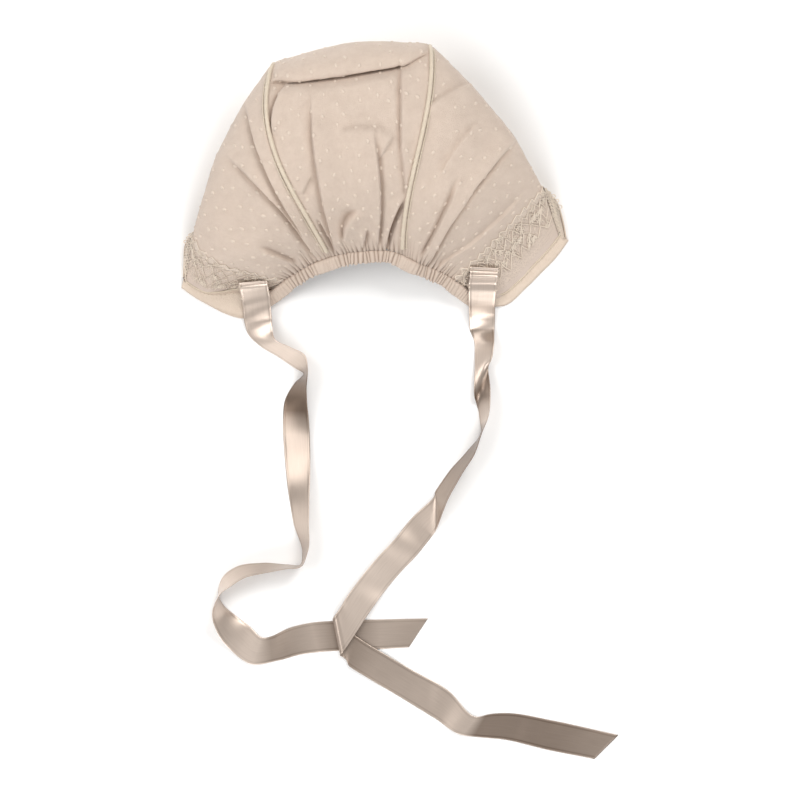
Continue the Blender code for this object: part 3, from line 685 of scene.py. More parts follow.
def painted_roll_shade(us, vs):
    """Painted shade in the deep crease under the roll."""
    rows = along(RIBS, us)
    angle = 2.0 * (vs - 0.5) * end_angle(rows)[:, None]
    share = CREST_SHARE + (1.0 - CREST_SHARE) * np.sin(np.clip(angle, 0.0, math.pi / 2.0))
    offset = (1.0 - share) * plan_length(rows)[:, None] - rows[:, 8:9]
    dark = bell(offset / np.where(offset > 0.0, 2.2, 1.4)) * (0.1 + 0.24 * overhang(us))
    return dark * roll_strength(us)[:, None] * (angle < math.pi / 2.0)


def longest_runs(grid):
    """Longest way over a grid from column to column and from row to row, in metres."""
    return (
        np.linalg.norm(np.diff(grid, axis=way), axis=2).sum(axis=way).max() * MM
        for way in (0, 1)
    )


# What the gathers take up: width and length of the flat cloth for each panel's own
GATHERED_WIDTH = 1.12
GATHERED_LENGTH = 1.08


def panel(name, first, last, columns, rows_at, node, seed):
    """One cloth panel of the shell between two rib places, with its woven dots."""
    us = np.linspace(first, last, columns)
    vs = rows_at(us)
    base = base_grid(us, vs)
    normal = grid_normals(base)
    plan = base[..., :2]
    from_seam = seam_distance(us, base)
    seam = smooth_step((from_seam - 0.3) / 2.4)
    inside = 0.25 + 0.75 * smooth_step((outline_v(us)[:, None] - vs) / 0.1)
    ease = (0.4 + 0.6 * smooth_step(vs / 0.06)) * smooth_step((0.94 - vs) / 0.15) * seam * inside
    folds, crease = fold_shape(plan)
    lift = (folds + WAVES[0] * waves(plan, seed, *WAVES[1:])) * ease
    fine = FINE_WAVES[0] * waves(plan, seed + 1, *FINE_WAVES[1:])
    lift += fine * smooth_step(vs * 12.0) * seam
    nape_x = along(RIBS, us)[:, 0]
    ridge, painted_valley_shade, reach, _ = gather_profile(casing_arc(nape_x))
    tight = np.sqrt(tightness(nape_x))[:, None]
    up = np.linalg.norm(np.diff(base, axis=1), axis=2)
    distance = np.concatenate((np.zeros((columns, 1)), np.cumsum(up, axis=1)), axis=1)
    fading = bell(distance / reach[:, None])
    lift += (ridge - 0.5)[:, None] * GATHER_RISE * tight * fading * (0.25 + 0.75 * seam)
    # Painted shade: in the creases of the folds, in the valleys between the gathers, beside the
    # seams and the casing, and in the crease under the roll
    crease = crease * ease + VALLEY_SHADE * painted_valley_shade[:, None] * tight * fading
    crease += SEAM_SHADE * (bell(distance / 0.7) + bell((from_seam - SEAM_LINE) / 0.5))
    if rows_at is crown_rows:
        crease += painted_roll_shade(us, vs)
    outer = base + normal * lift[..., None]
    inner = base - normal * CLOTH + normal * np.minimum(lift, 0.0)[..., None]
    piece = wall_piece(
        name, outer, inner, cloth_uvs(base), COTTON, "cotton", (node,),
        crease=np.clip(crease, 0.0, 1.0),
    )
    dots = dot_piece(name + "_dots", outer, seed)
    width, length = longest_runs(base)
    width *= GATHERED_WIDTH
    length *= GATHERED_LENGTH
    return outer


# Woven dots: spacing of their rows and in a row, and half the length and width of one
DOT_ROWS = 7.4
DOT_PITCH = 12.4
DOT_LONG = 1.4
DOT_WIDE = 0.95
DOT_SIDES = 8

# Rings of a dot, from below the cloth to its top
# columns: share of its size, height
DOT_RINGS = ((1.0, -0.15), (0.85, 0.2), (0.4, 0.34))


def dot_piece(name, grid, seed):
    """Raised woven dots, in offset rows on the cloth."""
    source = np.random.default_rng(seed + 40)
    normal = grid_normals(grid)
    arc_u = run_along(grid[:, int(grid.shape[1] * 0.55)])
    arc_v = run_along(grid[len(grid) // 2])
    rings = []
    for number, along_v in enumerate(np.arange(12.0, arc_v[-1] - 2.0, DOT_ROWS)):
        row = int(np.searchsorted(arc_v, along_v))
        for along_u in np.arange((8.0, 2.6)[number % 2], arc_u[-1] - 1.5, DOT_PITCH):
            column = int(np.searchsorted(arc_u, along_u + source.uniform(-1.6, 1.6)))
            column = min(max(column, 1), len(grid) - 2)
            here = min(max(row + int(source.integers(-2, 3)), 1), grid.shape[1] - 2)
            up = normal[column, here]
            if up[2] < -0.4 or source.uniform() < 0.06:
                continue
            side = unit(grid[column + 1, here] - grid[column - 1, here])
            rings += dot_rings(grid[column, here], side, up, source)
    faces = []
    for first in range(0, len(rings), len(DOT_RINGS)):
        faces += tube_faces(len(DOT_RINGS), DOT_SIDES, first * DOT_SIDES)
    return add_piece(name, make_mesh(name, np.concatenate(rings), faces), DOT_THREAD)


def dot_rings(centre, side, up, source):
    """One dot: a small dome of thread, longer than it is wide."""
    turn = source.uniform(-0.5, 0.5)
    long_way = np.cross(up, side) * math.cos(turn) + side * math.sin(turn)
    short_way = np.cross(up, long_way)
    size = source.uniform(0.85, 1.1)
    ring = round_ring(DOT_SIDES)
    spot = long_way * ring[:, :1] * DOT_LONG + short_way * ring[:, 1:] * DOT_WIDE
    return [centre + spot * scale * size + up * height for scale, height in DOT_RINGS]


panel("crown_cloth", LEFT_SEAM + 0.02, RIGHT_SEAM - 0.02, 150, crown_rows, "crown_panel", 11)
LEFT_CLOTH = panel(
    "side_cloth_left", 0, LEFT_SEAM - 0.02, 180, side_rows, "side_panel_left", 21
)
RIGHT_CLOTH = panel(
    "side_cloth_right", RIGHT_SEAM + 0.02, LAST_RIB, 180, side_rows, "side_panel_right", 31
)


# Cords and tubes


def sweep(line, side, up, section):
    """Grid of a tube: section is its points (sideways, upward) at each place of the line."""
    return (
        line[:, None, :]
        + side[:, None, :] * section[..., 0:1]
        + up[:, None, :] * section[..., 1:2]
    )


def tube_uvs(arc, turn):
    """Cloth coordinates of a tube from its lengths along and round it."""
    return np.stack(np.meshgrid(arc, turn, indexing="ij"), axis=-1).reshape(-1, 2) / CLOTH_UNIT


def tube_piece(name, grid, look, slot, nodes=(), **marks):
    """Closed tube from rings of points, flat at both ends."""
    rings, sides = grid.shape[:2]
    uvs = tube_uvs(run_along(grid.mean(axis=1)), np.arange(sides) / sides * 6.0)
    mesh = make_mesh(name, grid.reshape(-1, 3), tube_faces(rings, sides), uvs, **marks)
    return add_piece(name, mesh, look, nodes)


def cord_grid(line, side, up, sides, radius):
    """Rings of a round cord along a line, with its radius at each place."""
    return sweep(line, side, up, round_ring(sides) * radius[:, None, None])[:, ::-1]


# The cord of the piping and the fine stitched line beside it
PIPING_START = 0.035
PIPING_END = 0.93
SIDE_CORD_RADIUS = 0.42
SIDE_CORD_OFFSET = 1.95
SIDE_CORD_RISE = 0.15
SIDE_CORD_PITCH = 2.1
END_SINK = 1.1


def piping(name, seam, node, outward):
    """Corded seam that lies on the join between two panels, with a stitched line beside it."""
    vs = np.linspace(PIPING_START, PIPING_END, 260)
    base = base_grid(np.array((seam - 0.03, seam, seam + 0.03)), np.broadcast_to(vs, (3, 260)))
    normal = grid_normals(base)[1]
    base = base[1]
    side = unit(np.cross(unit(np.gradient(base, axis=0)), normal))
    end = outline_v(np.array((float(seam),)))[0]
    sink = PIPING_SINK + END_SINK * smooth_step((vs - end + 0.1) / 0.1)
    line = base + normal * (PIPING_RADIUS - sink)[:, None]
    arc = np.cumsum(np.linalg.norm(np.gradient(line, axis=0), axis=1))
    radius = PIPING_RADIUS * (1.0 + 0.05 * np.sin(arc * 1.9) + 0.03 * np.sin(arc * 3.7 + 1.0))
    cord = cord_grid(line, side, normal, 12, radius)
    tube_piece(name, cord, PIPING_SATIN, "piping", (node,))
    beside = base + side * SIDE_CORD_OFFSET * outward
    beside = beside + normal * (SIDE_CORD_RISE + PIPING_SINK - sink)[:, None]
    thin = SIDE_CORD_RADIUS * (1.0 + 0.25 * np.sin(arc * 2.0 * math.pi / SIDE_CORD_PITCH))
    edge = cord_grid(beside, side, normal, 8, thin)
    tube_piece(name + "_edge", edge, PIPING_SATIN, "piping")


piping("piping_cord_left", LEFT_SEAM, "piping_left", -1.0)
piping("piping_cord_right", RIGHT_SEAM, "piping_right", 1.0)


def casing_piece():
    """Elastic casing with fine uneven gathers, smooth where the photo shows it smooth."""
    places = np.linspace(0.0, len(CASING) - 1, 620)
    centre, across, forward = casing_frame(places)
    up = unit(np.cross(forward, across))
    round_it = round_ring(24)[:, 0][None, :]
    wide, high = square_ring(24, 0.62).T
    arc = casing_arc(centre[:, 0])
    tight = tightness(centre[:, 0])[:, None]
    tight = tight * smooth_step(np.minimum(arc, arc[-1] - arc) / 5.0)[:, None]
    lean = np.sin(0.37 * arc + 0.8) + 0.6 * np.sin(1.13 * arc)
    ridge, painted_valley_shade, _, drift = gather_profile(arc[:, None] + 0.5 * round_it * lean[:, None])
    pinch = (1.0 - ridge) * tight
    lower = round_it < 0.0
    reach = wide * CASING_HALF_WIDTH * np.where(lower, 1.08 - 0.34 * pinch, 1.16)
    reach += drift * tight * lower * ridge
    rise = high * CASING_HALF_THICKNESS * (1.2 - 0.95 * pinch)
    grid = sweep(centre, across, up, np.stack((reach, rise), axis=-1))
    # Painted shade in the valleys between the gathers and in a line along the side that meets the
    # panels
    gap = painted_valley_shade * tight
    seam = 0.3 * bell((round_it - 0.97) / 0.1) * (0.3 + 0.7 * gap)
    crease = np.clip(gap + seam, 0.0, 1.0)
    return tube_piece("casing_cloth", grid, COTTON, "cotton", ("neck_casing",), crease=crease)


casing_piece()


# Lace corners, bands and bindings

# Half the height of the rounded binding of the front edge
BINDING_HALF_HEIGHT = 2.0

# Outer edge of each lace corner in plan
# columns: x, y
LACE_RIGHT = (
    (40.0, 54.6), (47.5, 56.4), (54.5, 58.6), (63.4, 65.8), (71.7, 74.5), (79.6, 83.0),
    (85.0, 90.0),
)
LACE_LEFT = (
    (-72.0, 56.0), (-79.5, 59.0), (-87.4, 62.0), (-96.5, 60.4), (-104.5, 60.0), (-110.4, 62.6),
    (-115.0, 65.2),
)
# columns: upper_x, upper_y, lower_x, lower_y
BINDING_RIGHT = (
    (47.0, 57.4, 47.0, 50.6), (54.6, 57.6, 56.5, 51.4), (63.8, 64.7, 67.6, 60.6),
    (72.3, 73.7, 76.0, 69.0), (80.3, 82.2, 84.0, 77.2), (86.6, 90.4, 90.6, 86.2),
)
BINDING_LEFT = (
    (-79.5, 58.4, -79.5, 44.2), (-87.4, 60.8, -86.3, 44.6), (-96.5, 59.2, -94.5, 47.2),
    (-104.5, 58.8, -103.5, 51.8), (-110.6, 61.4, -110.5, 55.8), (-116.4, 65.6, -117.5, 60.8),
)
# Front edge where it turns from each corner in under the side panel
# columns: x, y, top_z
FRONT_RIGHT = (
    (89.2, 87.6, 4.6), (88.2, 93.5, 6.0), (86.4, 101.0, 8.0), (83.2, 108.5, 9.5),
    (78.2, 112.6, 9.5), (73.5, 115.6, 11.0),
)
FRONT_LEFT = (
    (-106.8, 95.2, 11.0), (-109.4, 90.6, 9.5), (-113.0, 88.2, 9.5), (-115.4, 83.6, 8.0),
    (-116.0, 76.0, 6.0), (-116.4, 66.4, 4.6),
)


def surface_at(grid, a, b):
    """Point on a grid at shares a of its columns and b of its rows."""
    columns, rows = grid.shape[:2]
    x = np.clip(np.asarray(a, float), 0.0, 1.0) * (columns - 1)
    y = np.clip(np.asarray(b, float), 0.0, 1.0) * (rows - 1)
    i = np.minimum(x.astype(int), columns - 2)
    j = np.minimum(y.astype(int), rows - 2)
    s = (x - i)[..., None]
    t = (y - j)[..., None]
    low = grid[i, j] * (1.0 - s) + grid[i + 1, j] * s
    high = grid[i, j + 1] * (1.0 - s) + grid[i + 1, j + 1] * s
    return low * (1.0 - t) + high * t


# Sides of a thread, and its thickness at its very ends as a share
THREAD_SIDES = 5
THREAD_TIP = 0.55


def threads_piece(name, lines, look):
    """Many threads in one piece; each line is its points, the normals there and a radius."""
    points = []
    faces = []
    uvs = []
    ring = round_ring(THREAD_SIDES)
    turn = 0.6 * math.pi * np.arange(THREAD_SIDES) / THREAD_SIDES
    count = 0
    for line, normal, radius in lines:
        side = unit(np.cross(unit(np.gradient(line, axis=0)), normal))
        up = np.cross(side, unit(np.gradient(line, axis=0)))
        width = np.full(len(line), radius)
        width[[0, -1]] *= THREAD_TIP
        points.append(sweep(line, side, up, ring * width[:, None, None]).reshape(-1, 3))
        arc = np.cumsum(np.linalg.norm(np.gradient(line, axis=0), axis=1))
        uvs.append(tube_uvs(arc, turn))
        faces += tube_faces(len(line), THREAD_SIDES, count)
        count += len(line) * THREAD_SIDES
    mesh = make_mesh(name, np.concatenate(points), faces, np.concatenate(uvs))
    return add_piece(name, mesh, look)


def line_on(grid, a, b, lift):
    """A line on a grid through shares a and b, raised by lift, with its normals."""
    normals = grid_normals(grid)
    points = surface_at(grid, a, b)
    normal = unit(surface_at(normals, a, b))
    return points + normal * lift, normal


def zigzag(grid, count, low, high, lift, source):
    """Embroidered zigzag all along a grid between two rows of it."""
    turns = np.linspace(0.0, 1.0, count)
    level = np.where(np.arange(count) % 2 == 0, low, high)
    level = level + source.uniform(-0.06, 0.06, count) * (high - low)
    turns = turns + source.uniform(-0.06, 0.06, count) / count
    steps = np.linspace(0.0, count - 1.0, (count - 1) * 4 + 1)
    a = np.interp(steps, np.arange(count), turns)
    b = np.interp(steps, np.arange(count), level)
    return line_on(grid, a, b, lift)


def strip_line(grid, arc, across, lift):
    """A line on a strip from its lengths along and across the strip, with its normals."""
    run = run_along(grid[:, grid.shape[1] // 3])
    a = np.interp(arc, run, np.linspace(0.0, 1.0, len(run)))
    reach = np.cumsum(np.linalg.norm(np.diff(grid, axis=1), axis=2), axis=1)
    reach = np.concatenate((np.zeros((len(grid), 1)), reach), axis=1)
    shares = np.linspace(0.0, 1.0, grid.shape[1])
    nearest = np.rint(a * (len(grid) - 1)).astype(int)
    b = [np.interp(width, reach[column], shares) for column, width in zip(nearest, across)]
    return line_on(grid, a, np.array(b), lift)


def curl(grid, a, b, radius_a, radius_b, lift, turns, phase):
    """Small loop of thread lying on a grid."""
    angle = np.linspace(phase, phase + 2.0 * math.pi * turns, 13)
    return line_on(grid, a + radius_a * np.cos(angle), b + radius_b * np.sin(angle), lift)


STITCH_RADIUS = 0.17


def stitches(grid, b, pitch, length, lift):
    """Row of stitches along a grid at share b of its rows."""
    a = np.linspace(0.0, 1.0, 400)
    arc = run_along(surface_at(grid, a, np.full(400, b)))
    made = []
    for start in np.arange(0.4, arc[-1] - length, pitch):
        spots = np.interp(np.linspace(start, start + length, 4), arc, a)
        points, normal = line_on(grid, spots, np.full(4, b), lift)
        points = points - normal * np.array((0.3, 0.0, 0.0, 0.3))[:, None]
        made.append((points, normal, STITCH_RADIUS))
    return made


# How far the net goes under the panel and the binding and down from the panel's edge, and how
# far its threads lap over the panel
LACE_UNDER_PANEL = 2.6
LACE_UNDER_BINDING = 2.4
LACE_DROP = 0.7
LACE_LAP = 3.8

# Height of the lace at its outer edge, how it sags on its way there, and its unevenness
LACE_EDGE_HEIGHT = 1.2
LACE_SAG = 1.3
LACE_WAVE = 0.22

# Shares of the way along a panel's last rib between which its lace lies
LACE_FIRST_V = 0.02
LACE_SHORT_V = 0.03


def lace_last_v(u):
    return outline_v(np.array((float(u),)))[0] - LACE_SHORT_V


def lace_grid(u, table, columns, rows):
    """Sloping surface of a lace corner, from under the panel edge to the binding."""
    outward = 1.0 if u > 0 else -1.0
    share = np.linspace(0.0, 1.0, columns)
    vs = LACE_FIRST_V + (lace_last_v(u) - LACE_FIRST_V) * share
    pair = base_grid(np.array((u - 0.1 * outward, float(u))), np.broadcast_to(vs, (2, columns)))
    edge = pair[1]
    away = unit(edge - pair[0])
    start = edge - away * LACE_UNDER_PANEL - np.array((0.0, 0.0, LACE_DROP))
    outer = along(table, share * (len(table) - 1))
    outer += unit(outer - start[:, :2]) * LACE_UNDER_BINDING
    reach = np.linspace(0.0, 1.0, rows)[None, :]
    plan = start[:, None, :2] * (1.0 - reach)[..., None] + outer[:, None, :] * reach[..., None]
    height = start[:, 2:3] * (1.0 - reach) ** LACE_SAG + LACE_EDGE_HEIGHT * smooth_step(reach)
    grid = np.concatenate((plan, height[..., None]), axis=-1)
    grid[..., 2] += LACE_WAVE * waves(grid[..., :2], 71, 12, 9.0, 22.0) * smooth_step(reach * 5.0)
    casing_y, casing_z = (
        np.interp(grid[..., 0], CASING_LINE[:, 0], CASING_LINE[:, k]) for k in (1, 2)
    )
    beside = bell((grid[..., 1] - casing_y) / 4.0)
    grid[..., 2] += beside * np.maximum(casing_z - 0.4 - grid[..., 2], 0.0)
    return grid


def upward(grid):
    """The grid, turned so that its normals point up."""
    middle = grid_normals(grid)[grid.shape[0] // 2, grid.shape[1] // 2]
    return grid if middle[2] > 0.0 else grid[::-1]


# The net turns to plain cloth between these shares of its width
NET_ENDS = 0.8
PLAIN_STARTS = 0.92
NET_THICKNESS = 0.8


def net_corner(name, lace, node):
    """The net and the plain cloth of one corner."""
    grid = upward(lace)
    share = np.broadcast_to(np.linspace(0.0, 1.0, grid.shape[1]), grid.shape[:2])
    plain = smooth_step((share - NET_ENDS) / (PLAIN_STARTS - NET_ENDS))
    piece = wall_piece(
        name, grid, grid - grid_normals(grid) * NET_THICKNESS, cloth_uvs(grid), LACE_CLOTH,
        "lace", (node,), plain=plain,
    )


def lapped_grid(lace, cloth, last_v):
    """Surface under the embroidery: from the edge of the panel down on to the net."""
    count = len(lace)
    rows = np.linspace(LACE_FIRST_V, last_v, count) * (cloth.shape[1] - 1)
    low = np.minimum(rows.astype(int), cloth.shape[1] - 2)
    part = (rows - low)[None, :, None]
    strip = cloth[:60, low] * (1.0 - part) + cloth[:60, low + 1] * part
    inward = np.cumsum(np.linalg.norm(np.diff(strip, axis=0), axis=2), axis=0)
    inward = np.concatenate((np.zeros((1, count)), inward))
    wanted = np.linspace(LACE_LAP, 0.1, 7)
    over = np.empty((count, len(wanted), 3))
    for column in range(count):
        for axis in range(3):
            over[column, :, axis] = np.interp(wanted, inward[:, column], strip[:, column, axis])
    shares = np.linspace(0.0, 1.0, count)[:, None]
    net = surface_at(lace, shares, np.linspace(0.19, 0.97, 26)[None, :])
    return np.concatenate((over, net), axis=1)


# The edge of the lace laps over the edge of the panel in points
LACE_POINT = 5.4
LACE_POINT_NEAR = 0.5
LACE_POINT_FAR = 3.5
LACE_EDGE_END = 7.6
LACE_EDGE_LIFT = 0.3
LACE_EDGE_THICKNESS = 0.5

# Zigzags of thread on the lace, by their distance from its inner edge in mm
# columns: near, far, pitch, radius
LACE_ZIGZAGS = (
    (5.2, 8.6, 4.6, 0.25), (8.4, 13.6, 6.4, 0.28), (14.0, 19.0, 7.0, 0.26),
    (19.0, 25.0, 8.2, 0.28),
)
THREAD_LIFT = 0.5


def uneven_zigzag(source, length, near, far, pitch):
    """Turning places of a zigzag drawn by an unsteady hand."""
    turns = np.arange(0.0, length + pitch, pitch / 2.0)
    level = np.where(np.arange(len(turns)) % 2 == 0, near, far)
    level = level + source.uniform(-0.18, 0.18, len(turns)) * (far - near)
    return turns + source.uniform(-0.14, 0.14, len(turns)) * pitch, level


def lace_edge(name, grid, source, length):
    """Pointed edge of the lace over the edge of the panel; returns the line of its points."""
    turns, level = uneven_zigzag(source, length, LACE_POINT_NEAR, LACE_POINT_FAR, LACE_POINT)
    arc = np.arange(0.0, length, 0.4)
    near = np.interp(arc, turns, level)
    rows = []
    for share in np.linspace(0.0, 1.0, 9):
        across = near * (1.0 - share) + LACE_EDGE_END * share
        rows.append(strip_line(grid, arc, across, LACE_EDGE_LIFT * (1.0 - 0.8 * share))[0])
    strip = upward(np.stack(rows, axis=1))
    inner = strip - grid_normals(strip) * LACE_EDGE_THICKNESS
    wall_piece(name, strip, inner, cloth_uvs(strip), LACE_EDGE_CLOTH, "lace")
    return strip_line(grid, arc, near, LACE_EDGE_LIFT)


def lace_lines(grid, source, length):
    """Zigzags, short strokes and small loops of thread, as lines with a radius."""
    made = []
    for near, far, pitch, radius in LACE_ZIGZAGS:
        turns, level = uneven_zigzag(source, length, near, far, pitch)
        steps = np.linspace(0.0, len(turns) - 1.0, (len(turns) - 1) * 8 + 1)
        arc = np.interp(steps, np.arange(len(turns)), turns)
        across = np.interp(steps, np.arange(len(turns)), level)
        made.append((*strip_line(grid, arc, across, THREAD_LIFT), radius))
    for centre in np.arange(1.5, length, 1.5):
        flower(made, grid, source, centre, source.choice((4.4, 9.0, 12.6, 16.0, 19.5, 23.0)))
    for _ in range(int(length * 1.3)):
        stroke(made, grid, source, source.uniform(0.5, length - 0.5), source.uniform(2.5, 25.0))
    return made


def flower(made, grid, source, arc, across):
    """A ring of four or five small loops of thread."""
    petals = source.integers(4, 6)
    turn = source.uniform(0.0, 6.3)
    for petal in range(petals):
        way = turn + 2.0 * math.pi * petal / petals
        angle = np.linspace(0.0, 5.6, 9) + way
        wide = arc + 1.15 * math.cos(way) + 0.7 * np.cos(angle)
        high = across + 1.15 * math.sin(way) + 0.7 * np.sin(angle)
        made.append((*strip_line(grid, wide, high, THREAD_LIFT), 0.27))


def stroke(made, grid, source, arc, across):
    """A short bent stitch, more across the lace than along it."""
    half = source.uniform(0.8, 2.2)
    lean = source.uniform(-0.8, 0.8)
    share = np.linspace(-1.0, 1.0, 6)
    bend = source.uniform(-0.4, 0.4) * (1.0 - share * share)
    wide = arc + half * math.sin(lean) * share + bend
    high = np.maximum(across + half * math.cos(lean) * share, 0.4)
    made.append((*strip_line(grid, wide, high, THREAD_LIFT), 0.27))


def lace_embroidery(name, lace, cloth, u, seed, weight):
    """Raised work on one corner: the pointed edge over the panel, and threads on the net."""
    source = np.random.default_rng(seed)
    grid = upward(lapped_grid(lace, cloth, lace_last_v(u)))
    length = np.linalg.norm(np.diff(grid[:, 8], axis=0), axis=1).sum()
    border = lace_edge(name + "_edge", grid, source, length)
    made = [(*border, 0.33)] + lace_lines(grid, source, length)
    made = [(line, normal, radius * weight) for line, normal, radius in made]
    threads_piece(name, made, LACE_THREAD)


RAW_RIGHT = lace_grid(LAST_RIB, LACE_RIGHT, 90, 36)
RAW_LEFT = lace_grid(0, LACE_LEFT, 90, 36)
net_corner("lace_right", RAW_RIGHT, "lace_corner_right")
net_corner("lace_left", RAW_LEFT, "lace_corner_left")
lace_embroidery("lace_threads_right", RAW_RIGHT, RIGHT_CLOTH[::-1], LAST_RIB, 81, 1.0)
lace_embroidery("lace_threads_left", RAW_LEFT, LEFT_CLOTH, 0, 82, 0.7)


def front_path():
    """Front edge in plan with the height of the band above it, right corner to left."""
    right = along(FRONT_RIGHT, np.arange(0.0, 5.01, 0.5))
    us = LAST_RIB - np.arange(2, 2 * LAST_RIB - 2) / 2.0
    hem = base_grid(us, np.ones((len(us), 1)))[:, 0] - np.array((0.0, 0.0, 1.0))
    left = along(FRONT_LEFT, np.arange(0.0, 5.01, 0.5))
    path = np.concatenate((right, hem, left))
    return along(path, np.linspace(0.0, len(path) - 1.0, 8 * (len(path) - 1) + 1))


FRONT = front_path()


def outward_of(path):
    step = unit(np.gradient(path[:, :2], axis=0))
    return np.stack((step[:, 1], -step[:, 0], np.zeros(len(step))), axis=1)


def front_binding():
    """Rounded binding on which the bonnet stands, narrower near its ends."""
    side = outward_of(FRONT)
    up = np.broadcast_to(np.array((0.0, 0.0, 1.0)), side.shape)
    line = np.concatenate((FRONT[:, :2], np.full((len(FRONT), 1), BINDING_HALF_HEIGHT)), axis=1)
    arc = run_along(line)
    narrow = 0.4 + 0.6 * smooth_step((np.minimum(arc, arc[-1] - arc) - 25.0) / 15.0)
    ring = np.broadcast_to(square_ring(16, 0.5), (len(line), 16, 2))
    half = np.stack((0.9 * narrow, np.full(len(line), BINDING_HALF_HEIGHT)), axis=1)
    grid = sweep(line, side, up, ring * half[:, None, :])
    return tube_piece("band_binding", grid, BINDING_LOOK, "binding", ("front_binding",))


front_binding()


# The top of the band goes up inside the hem of the panels, most beside each corner, and at
# the corners it follows the lace for this share of the way
BAND_INSIDE = 0.7
BAND_RISE = 1.6
BAND_CORNER_RISE = 2.6
BAND_ON_LACE = 0.62


def band_grid():
    """Band of the face opening; at each corner it slopes up to the free edge of the lace."""
    count = len(FRONT)
    low = np.concatenate((FRONT[:, :2], np.full((count, 1), 3.4)), axis=1)
    high = FRONT - outward_of(FRONT) * BAND_INSIDE
    high[:, 2] += BAND_RISE
    corner = 5 * 8 * 2
    from_end = np.minimum(np.arange(count), count - 1 - np.arange(count))
    high[:, 2] += BAND_CORNER_RISE * bell((from_end - corner) / 24.0)
    for flip, lace in ((False, RAW_RIGHT), (True, RAW_LEFT)):
        edge = lace[-1]
        index = np.arange(corner + 1)
        share = index / corner
        spot = np.clip(1.0 - share / BAND_ON_LACE, 0.0, 1.0) * (len(edge) - 1)
        top = np.stack([np.interp(spot, np.arange(len(edge)), edge[:, k]) for k in range(3)], 1)
        blend = smooth_step((share - BAND_ON_LACE) / (1.0 - BAND_ON_LACE))[:, None]
        rows = (count - 1 - index) if flip else index
        high[rows] = top * (1.0 - blend) + high[rows] * blend
    reach = np.linspace(0.0, 1.0, 12)[None, :, None]
    grid = low[:, None, :] * (1.0 - reach) + high[:, None, :] * reach
    sway = waves(np.stack((np.arange(count) * 0.8, np.zeros(count)), axis=1), 75, 8, 12.0, 30.0)
    grid += outward_of(FRONT)[:, None, :] * (0.3 * sway)[:, None, None] * np.sin(math.pi * reach)
    return grid


def band_net():
    """The net of the band, with painted shade under the hem and at both corners."""
    up = np.broadcast_to(np.linspace(0.0, 1.0, BAND.shape[1]), BAND.shape[:2])
    place = np.linspace(0.0, 1.0, len(BAND))[:, None]
    corner = smooth_step(1.0 - np.minimum(place, 1.0 - place) / 0.12)
    crease = np.clip(0.5 * bell((up - 1.0) / 0.1) + 0.9 * corner, 0.0, 1.0)
    inner = BAND - grid_normals(BAND) * 0.5
    piece = wall_piece(
        "band_net", BAND, inner, cloth_uvs(BAND), BAND_CLOTH, "lace", ("front_band",),
        crease=crease,
    )


BAND = band_grid()
band_net()


def picots():
    """Loops of thread that stand out of the band at the top of each corner."""
    source = np.random.default_rng(95)
    made = []
    for path in (FRONT_RIGHT, FRONT_LEFT[::-1]):
        line = along(path, np.linspace(2.4, 4.6, 6))
        for spot in line:
            out = unit(np.array((spot[0], spot[1] - 100.0, 0.0)))
            side = np.array((-out[1], out[0], 0.0))
            angle = np.linspace(-2.4, 2.4, 14) + source.uniform(-0.5, 0.5)
            size = source.uniform(0.7, 1.2)
            loop = spot + out * (0.3 + size * np.cos(angle)[:, None])
            loop = loop + side * size * 0.8 * np.sin(angle)[:, None]
            loop[:, 2] += source.uniform(-0.8, 0.6) + 0.5 * np.sin(angle)
            normal = np.broadcast_to(np.array((0.0, 0.0, 1.0)), loop.shape)
            made.append((loop, normal, 0.3))
    return made


# Turns of each zigzag along the band, and the number of small loops
BAND_TURNS = 151
BAND_LOOPS = 120


def band_embroidery():
    """Zigzags and small loops of thread all along the band."""
    source = np.random.default_rng(91)
    made = picots()
    for low, high in ((0.18, 0.55), (0.50, 0.94)):
        made.append((*zigzag(BAND, BAND_TURNS, low, high, 0.2, source), 0.3))
        made.append((*zigzag(BAND, BAND_TURNS, high, low, 0.4, source), 0.26))
    for a in np.linspace(0.004, 0.996, BAND_LOOPS):
        made.append((*curl(BAND, a, 0.55 + source.uniform(-0.05, 0.05), 0.0025, 0.07, 0.45,
                           source.uniform(0.6, 1.1), source.uniform(0.0, 6.0)), 0.26))
    return threads_piece("band_threads", made, LACE_THREAD)


band_embroidery()


def tape_grid(table, rows, rise):
    """Top of a flat binding, rounded at both edges."""
    count = 12 * (len(table) - 1) + 1
    lines = along(table, np.linspace(0.0, len(table) - 1.0, count))
    reach = np.linspace(0.0, 1.0, rows)[None, :, None]
    plan = lines[:, None, :2] * (1.0 - reach) + lines[:, None, 2:] * reach
    profile = np.abs(2.0 * reach[..., 0] - 1.0)
    height = 0.9 + rise * np.sqrt(np.clip(1.0 - profile ** 6, 0.0, 1.0))
    pucker = 0.12 * waves(plan, 77, 10, 5.0, 14.0) * (1.0 - profile)
    return np.concatenate((plan, (height + pucker)[..., None]), axis=-1)


def binding_piece(name, table, node):
    grid = upward(tape_grid(table, 21, 0.95))
    share = np.broadcast_to(np.linspace(0.0, 1.0, 21), grid.shape[:2])
    inner = grid.copy()
    inner[..., 2] = 1.8 - np.minimum(grid[..., 2], 1.8)
    # Painted shade in a line near the upper edge of the binding and along its lower edge
    painted_edge_shade = 0.55 * bell((share - 0.13) / 0.03) + 0.35 * bell((share - 1.0) / 0.12)
    wall_piece(
        name, grid, inner, cloth_uvs(grid), BINDING_LOOK, "binding", (node,), crease=painted_edge_shade
    )
    places = np.linspace(0.0, 1.0, 160)
    lines = stitches(grid, 0.2, 2.3, 1.5, 0.1)
    lines.append((*line_on(grid, places, np.full(160, 0.05), 0.1), 0.42))
    threads_piece(name + "_stitches", lines, PIPING_SATIN)


